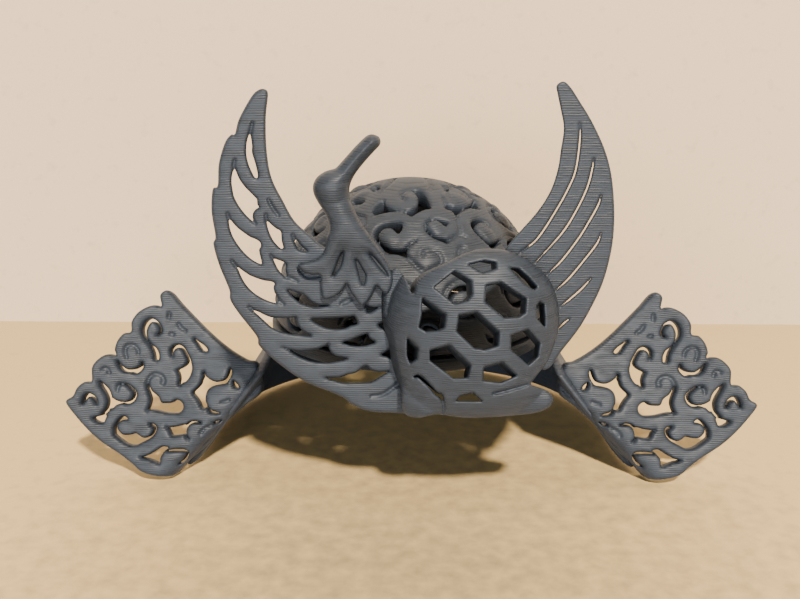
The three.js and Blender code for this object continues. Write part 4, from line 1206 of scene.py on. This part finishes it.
class Figures:
    """The figures on the crest: the crane's petals, neck and head, and the turtle."""

    def __init__(self, sizes: CrestSizes, finish: FigureSizes) -> None:
        """Takes the sizes.

        Args:
            sizes: Sizes of the crest.
            finish: Sizes of the figures.
        """
        self.s, self.f = sizes, finish
        self.plane = CrestPlane(sizes)
        self.second = sizes.wall / 2 + sizes.clear

    def neck_share(self, x: np.ndarray, y: np.ndarray) -> np.ndarray:
        """How round the crane is: hardly at its petals, fully at its neck.

        Args:
            x: Millimetres to the right; not used.
            y: Millimetres up.

        Returns:
            Shares from 0 to 1.
        """
        t = np.clip((y / self.s.grid - self.f.flat_below) / self.f.round_over, 0, 1)
        return self.f.least_round + (1 - self.f.least_round) * t * t * (3 - 2 * t)

    def back_share(self, x: np.ndarray, y: np.ndarray) -> np.ndarray:
        """How round the crane's back is: only where it stands free over the wing.

        Args:
            x: Millimetres to the right; not used.
            y: Millimetres up.

        Returns:
            Shares from 0 to 1.
        """
        return self.f.back_round * np.clip((y / self.s.grid - self.f.back_from) / self.f.back_over, 0, 1)

    def crane(self) -> bpy.types.Object:
        """The crane's petals, neck, head and beak in one sheet.

        Returns:
            Its object.
        """
        middle = self.second + self.f.skirt_wall / 2
        drawing = Drawing(self.s.grid, CRANE_OUTLINE, SKIRT_HOLES, domes=[CRANE_HEAD])
        sheet = Sheet("crane_body", drawing, Detail.FINE, self.f.skirt_wall, self.f.edge, self.plane.flat(middle))
        sheet.swell(self.f.neck_deep, self.f.neck_reach, self.neck_share, self.back_share)
        obj = sheet.build()
        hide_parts("crane_petals", "crane_neck")
        return obj

    def over_turtle(self, x: np.ndarray, y: np.ndarray, h: np.ndarray) -> np.ndarray:
        """Carries the turtle's drawing to its dome, with its gaps cut through to the crest's plane.

        Args:
            x: Millimetres to the right.
            y: Millimetres up.
            h: Millimetres over the middle of the wall.

        Returns:
            The points.
        """
        f = self.f
        t = h - f.shell_wall / 2
        u, v = x / self.s.grid, y / self.s.grid
        rise = self.second + f.foot + turtle_rise(u, v, f)
        back = np.clip(-t / f.shell_wall, 0, 1)
        k = back * np.clip((v - 0.15) / 0.25, 0, 1)
        out = rise + np.maximum(t, 0) - back * (rise - self.second)
        return self.plane.point(u - f.lean_left * k, v - f.lean_down * k, out)

    def turtle(self) -> bpy.types.Object:
        """The turtle's shell, flippers and head in one sheet.

        Returns:
            Its object.
        """
        drawing = Drawing(self.s.grid, TURTLE_OUTLINE, slots=[SHELL_SLIT], grooves=TURTLE_GROOVES,
                          facets=SHELL_HOLES)
        sheet = Sheet("turtle_body", drawing, Detail.FINE, self.f.shell_wall, self.f.edge, self.over_turtle)
        obj = sheet.build()
        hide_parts("turtle_shell", "turtle_upper_flipper", "turtle_lower_flipper", "turtle_head")
        return obj


def add_node(tree: bpy.types.NodeTree, kind: str, inputs: dict | None = None, **settings: object) -> bpy.types.Node:
    """Adds a node to a shader tree.

    Args:
        tree: The tree.
        kind: The node's type.
        inputs: A value, or the output that feeds it, for inputs by name or number.
        settings: Other settings of the node.

    Returns:
        The node.
    """
    node = tree.nodes.new(kind)
    for name, value in settings.items():
        setattr(node, name, value)
    for name, value in (inputs or {}).items():
        if isinstance(value, bpy.types.NodeSocket):
            tree.links.new(value, node.inputs[name])
        else:
            node.inputs[name].default_value = value
    return node


def math_node(tree: bpy.types.NodeTree, kind: str, *values: object) -> bpy.types.NodeSocket:
    """Output of a math node on numbers or other outputs."""
    return add_node(tree, "ShaderNodeMath", dict(enumerate(values)), operation=kind).outputs[0]


def mix_colours(tree: bpy.types.NodeTree, amount: object, a: object, b: object) -> bpy.types.NodeSocket:
    """Output of a colour mix of values or other outputs."""
    return add_node(tree, "ShaderNodeMix", {"Factor": amount, "A": a, "B": b}, data_type="RGBA").outputs["Result"]


@dataclass(frozen=True)
class LayerLook:
    """Level lines of a print: sizes in metres, scales per metre and shares."""

    pitch: float = 0.0003
    wander_scale: float = 260.0
    wander: float = 0.9
    seam_wide: float = 0.3
    stroke_scale: float = 330.0
    stroke_step: float = 3.7
    stroke_from: float = 0.43
    stroke_to: float = 0.64
    faintest: float = 0.28
    stronger: float = 0.8


def layer_group(look: LayerLook) -> bpy.types.NodeTree:
    """Shader group for the level lines of a print.

    Args:
        look: How the lines look.

    Returns:
        The group: height of the surface, how strongly shade is painted into the layer seams, and a tone for each
            layer.
    """
    group = bpy.data.node_groups.new("print_layers", "ShaderNodeTree")
    pitch = group.interface.new_socket("Pitch", in_out="INPUT", socket_type="NodeSocketFloat")
    pitch.default_value = look.pitch
    for name in ("Height", "Seam", "Tone"):
        group.interface.new_socket(name, in_out="OUTPUT", socket_type="NodeSocketFloat")
    start = add_node(group, "NodeGroupInput")
    coord = add_node(group, "ShaderNodeTexCoord").outputs["Object"]
    split = add_node(group, "ShaderNodeSeparateXYZ", {0: coord}).outputs
    wander = add_node(group, "ShaderNodeTexNoise", {"Vector": coord, "Scale": look.wander_scale, "Detail": 2.0})
    shift = math_node(group, "MULTIPLY", math_node(group, "SUBTRACT", wander.outputs["Fac"], 0.5), look.wander)
    level = math_node(group, "ADD", math_node(group, "DIVIDE", split["Z"], start.outputs["Pitch"]), shift)
    part = math_node(group, "FRACT", level)
    step = math_node(group, "FLOOR", level)
    side = math_node(group, "MINIMUM", part, math_node(group, "SUBTRACT", 1.0, part))
    slope = math_node(group, "SUBTRACT", 1.0, math_node(group, "DIVIDE", side, look.seam_wide))
    seam = math_node(group, "MAXIMUM", slope, 0.0)
    row = add_node(group, "ShaderNodeCombineXYZ", {
        "X": math_node(group, "MULTIPLY", split["X"], look.stroke_scale),
        "Y": math_node(group, "MULTIPLY", split["Y"], look.stroke_scale),
        "Z": math_node(group, "MULTIPLY", step, look.stroke_step),
    })
    stroke = add_node(group, "ShaderNodeTexNoise", {"Vector": row.outputs[0], "Scale": 1.0, "Detail": 2.0})
    span = {"Value": stroke.outputs["Fac"], "From Min": look.stroke_from, "From Max": look.stroke_to}
    weight = add_node(group, "ShaderNodeMapRange", span, interpolation_type="SMOOTHSTEP").outputs["Result"]
    white = add_node(group, "ShaderNodeTexWhiteNoise", noise_dimensions="1D")
    group.links.new(step, white.inputs["W"])
    deep = math_node(group, "ADD", math_node(group, "MULTIPLY", weight, look.stronger), look.faintest)
    # The seams' groove sets the height; its openness times the stroke weight sets how much shade is painted there
    add_node(group, "NodeGroupOutput", {
        "Height": math_node(group, "SUBTRACT", 1.0, math_node(group, "MULTIPLY", seam, deep)),
        "Seam": math_node(group, "MULTIPLY", seam, weight),
        "Tone": white.outputs["Value"],
    })
    return group


@dataclass(frozen=True)
class PrintFinish:
    """Look of the printed plastic, with shade painted into its layer seams."""

    dark: tuple = (0.0198, 0.0252, 0.034, 1.0)
    light: tuple = (0.0275, 0.0348, 0.0465, 1.0)
    # Colour of the shade painted into the layer seams, and how much of it is painted
    seam: tuple = (0.006, 0.007, 0.009, 1.0)
    seam_shade_share: float = 0.8
    cloud_scale: float = 900.0
    layer_tone: float = 0.3
    darkest_at: float = 0.3
    roughness: float = 0.5
    shine: float = 0.3
    bump: float = 0.45
    depth: float = 0.00013


def print_material(name: str, finish: PrintFinish, layers: bpy.types.NodeTree) -> bpy.types.Material:
    """Grey printed plastic with level layer lines, and shade painted dark into their seams.

    Args:
        name: Its name.
        finish: Its colours and relief.
        layers: The layer group.

    Returns:
        The material.
    """
    mat = bpy.data.materials.new(name)
    mat.use_nodes = True
    tree = mat.node_tree
    bsdf = tree.nodes["Principled BSDF"]
    bsdf.inputs["Roughness"].default_value = finish.roughness
    bsdf.inputs["Specular IOR Level"].default_value = finish.shine
    lines = add_node(tree, "ShaderNodeGroup", node_tree=layers).outputs
    coord = add_node(tree, "ShaderNodeTexCoord").outputs["Object"]
    cloud = add_node(tree, "ShaderNodeTexNoise", {"Vector": coord, "Scale": finish.cloud_scale, "Detail": 4.0})
    tone = math_node(tree, "MULTIPLY_ADD", lines["Tone"], finish.layer_tone, cloud.outputs["Fac"])
    ramp = add_node(tree, "ShaderNodeMapRange", {"Value": tone, "From Min": finish.darkest_at, "From Max": 1.0})
    plain = mix_colours(tree, ramp.outputs["Result"], finish.dark, finish.light)
    # Painted shade: the layer seams are darkened towards the painted shade colour
    colour = mix_colours(tree, math_node(tree, "MULTIPLY", lines["Seam"], finish.seam_shade_share), plain, finish.seam)
    tree.links.new(colour, bsdf.inputs["Base Color"])
    relief = {"Strength": finish.bump, "Distance": finish.depth, "Height": lines["Height"]}
    tree.links.new(add_node(tree, "ShaderNodeBump", relief).outputs["Normal"], bsdf.inputs["Normal"])
    return mat


@dataclass(frozen=True)
class RoomPlan:
    """Table, wall, the shadow painted on the table, and the light between them; places in metres from the bowl's
    axis.
    """

    table: tuple = (0.61, 0.43, 0.18, 1)
    wall: tuple = (0.66, 0.49, 0.31, 1)
    half: float = 2.0
    wall_behind: float = 0.059
    roughness: float = 0.8
    # Painted shadow on the table under the helmet: how far in front of the axis its centre lies, its reach, its
    # share, and its colour as shares of the table's colour and of the colour's sum
    painted_shadow_before: float = 0.045
    painted_shadow_reach: float = 0.085
    painted_shadow_share: float = 0.6
    painted_shadow_tint: float = 0.25
    painted_shadow_grey: float = 0.033
    grain_scale: float = 420.0
    sky: tuple = (0.86, 0.93, 1.0, 1)
    sky_strength: float = 0.145


@dataclass(frozen=True)
class LampPlan:
    """An area lamp that shines on the bowl's axis, in metres and watts."""

    name: str
    shape: str
    size: tuple
    energy: float
    colour: tuple
    place: tuple


LAMPS = (
    LampPlan("ceiling_lamp", "DISK", (0.08, 0.08), 44.5, (1.0, 0.88, 0.73), (0.1989, -0.9204, 0.8957)),
    LampPlan("window_light", "RECTANGLE", (0.8, 0.16), 8.0, (0.88, 0.94, 1.0), (-0.15, -0.9, 0.11)),
)


class Studio:
    """Table, wall, light and camera."""

    def __init__(self, plan: CameraPlan, room: RoomPlan) -> None:
        """Takes the plans.

        Args:
            plan: Where the camera stands.
            room: How the room looks.
        """
        self.plan, self.r = plan, room

    def paint(self, name: str, colour: tuple, painted_shadow_at: tuple) -> bpy.types.Material:
        """Matte paint with a shadow painted into its colour round one place, that throws back paler light and can't
        be seen from behind.

        Args:
            name: Its name.
            colour: Its colour.
            painted_shadow_at: Centre of the shadow painted into the colour, in metres.

        Returns:
            The material.
        """
        mat = bpy.data.materials.new(name)
        mat.use_nodes = True
        tree, r = mat.node_tree, self.r
        bsdf = tree.nodes["Principled BSDF"]
        bsdf.inputs["Roughness"].default_value = r.roughness
        coord = add_node(tree, "ShaderNodeTexCoord").outputs["Object"]
        # Painted shadow: the colour darkens and greys towards its centre
        spot = add_node(tree, "ShaderNodeVectorMath", {0: coord, 1: painted_shadow_at}, operation="DISTANCE").outputs["Value"]
        span = {"Value": spot, "From Max": r.painted_shadow_reach}
        far = add_node(tree, "ShaderNodeMapRange", span, interpolation_type="SMOOTHSTEP").outputs["Result"]
        grain = add_node(tree, "ShaderNodeTexNoise", {"Vector": coord, "Scale": r.grain_scale, "Detail": 3.0})
        amount = math_node(tree, "MULTIPLY_ADD", far, r.painted_shadow_share, grain.outputs["Fac"])
        total = sum(colour[:3])
        painted_shadow_colour = [c * r.painted_shadow_tint + total * r.painted_shadow_grey for c in colour[:3]] + [1]
        thrown = [(c + 2 * total / 3) / 3 for c in colour[:3]] + [1]
        path = add_node(tree, "ShaderNodeLightPath")
        shade = mix_colours(tree, path.outputs["Is Camera Ray"], thrown, mix_colours(tree, amount, painted_shadow_colour, colour))
        tree.links.new(shade, bsdf.inputs["Base Color"])
        behind = add_node(tree, "ShaderNodeNewGeometry").outputs["Backfacing"]
        clear = add_node(tree, "ShaderNodeBsdfTransparent").outputs[0]
        mix = add_node(tree, "ShaderNodeMixShader", {0: behind, 1: bsdf.outputs[0], 2: clear})
        tree.links.new(mix.outputs[0], tree.nodes["Material Output"].inputs["Surface"])
        return mat

    def surface(self, name: str, colour: tuple, corners: list, painted_shadow_at: tuple) -> bpy.types.Object:
        """Plain surface of the room, with a shadow painted into its colour round one place.

        Args:
            name: Its name.
            colour: Its colour.
            corners: Its corners in metres.
            painted_shadow_at: Centre of the painted shadow, in metres.

        Returns:
            The object.
        """
        mesh = bpy.data.meshes.new(name)
        mesh.from_pydata(corners, [], [list(range(len(corners)))])
        obj = bpy.data.objects.new(name, mesh)
        bpy.context.scene.collection.objects.link(obj)
        obj.data.materials.append(self.paint(name, colour, painted_shadow_at))
        return obj

    def room(self) -> None:
        """Adds the table, with a shadow painted under the helmet, and the wall behind it."""
        far, y = self.r.half, ORIGIN[1] + self.r.wall_behind
        level = [(-far, -far, 0), (far, -far, 0), (far, far, 0), (-far, far, 0)]
        upright = [(-far, y, 0), (far, y, 0), (far, y, far), (-far, y, far)]
        floor = self.surface("table_top", self.r.table, level, (0.0, ORIGIN[1] - self.r.painted_shadow_before, 0.0))
        # The wall's painted shadow lies a metre below the table, out of its reach
        wall = self.surface("back_wall", self.r.wall, upright, (0.0, y, -1.0))

    def light(self) -> None:
        """Adds the lamps and the light of the room."""
        world = bpy.data.worlds.new("room_light")
        world.use_nodes = True
        world.node_tree.nodes["Background"].inputs["Color"].default_value = self.r.sky
        world.node_tree.nodes["Background"].inputs["Strength"].default_value = self.r.sky_strength
        bpy.context.scene.world = world
        for plan in LAMPS:
            lamp = bpy.data.lights.new(plan.name, "AREA")
            lamp.shape, lamp.energy, lamp.color = plan.shape, plan.energy, plan.colour
            lamp.size, lamp.size_y = plan.size
            obj = bpy.data.objects.new(plan.name, lamp)
            obj.location = Vector(ORIGIN) + Vector(plan.place)
            obj.rotation_euler = (Vector(ORIGIN) - obj.location).to_track_quat("-Z", "Y").to_euler()
            bpy.context.scene.collection.objects.link(obj)

    def camera(self) -> None:
        """Adds the camera at the photograph's place."""
        p = self.plan
        data = bpy.data.cameras.new("camera")
        data.lens = p.lens
        data.sensor_width = 36.0
        data.clip_start, data.clip_end = 0.005, 10.0
        obj = bpy.data.objects.new("camera", data)
        obj.location = Vector(p.eye()) * MM + Vector(ORIGIN)
        obj.rotation_euler = (math.radians(90 - p.pitch), 0, math.radians(p.turn))
        bpy.context.scene.collection.objects.link(obj)
        bpy.context.scene.camera = obj


def main() -> None:
    """Builds the ornament and its room."""
    logging.basicConfig(level=logging.INFO, format="%(message)s")
    plan = CameraPlan()
    grey = print_material("grey_print", PrintFinish(), layer_group(LayerLook()))
    crest = Crest(CrestSizes())
    pieces = [crest.wing(), crest.tail()]
    pieces += [Flap(FlapSizes(), hand).build() for hand in (-1, 1)]
    pieces += Bowl(BowlSizes(), crest.plane, plan.eye()).build()
    pieces.append(Guard(GuardSizes()).build())
    figures = Figures(CrestSizes(), FigureSizes())
    pieces += [figures.crane(), figures.turtle()]
    for obj in pieces:
        obj.data.materials.append(grey)
        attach(obj, "root")
        LOG.info("%s: %d faces", obj.name, len(obj.data.polygons))
    for obj in bpy.context.scene.objects:
        if obj.type == "MESH" and obj not in pieces:
            obj.data.materials.clear()
            obj.data.materials.append(grey)
    studio = Studio(plan, RoomPlan())
    studio.room()
    studio.light()
    studio.camera()


if __name__ == "__main__":
    main()
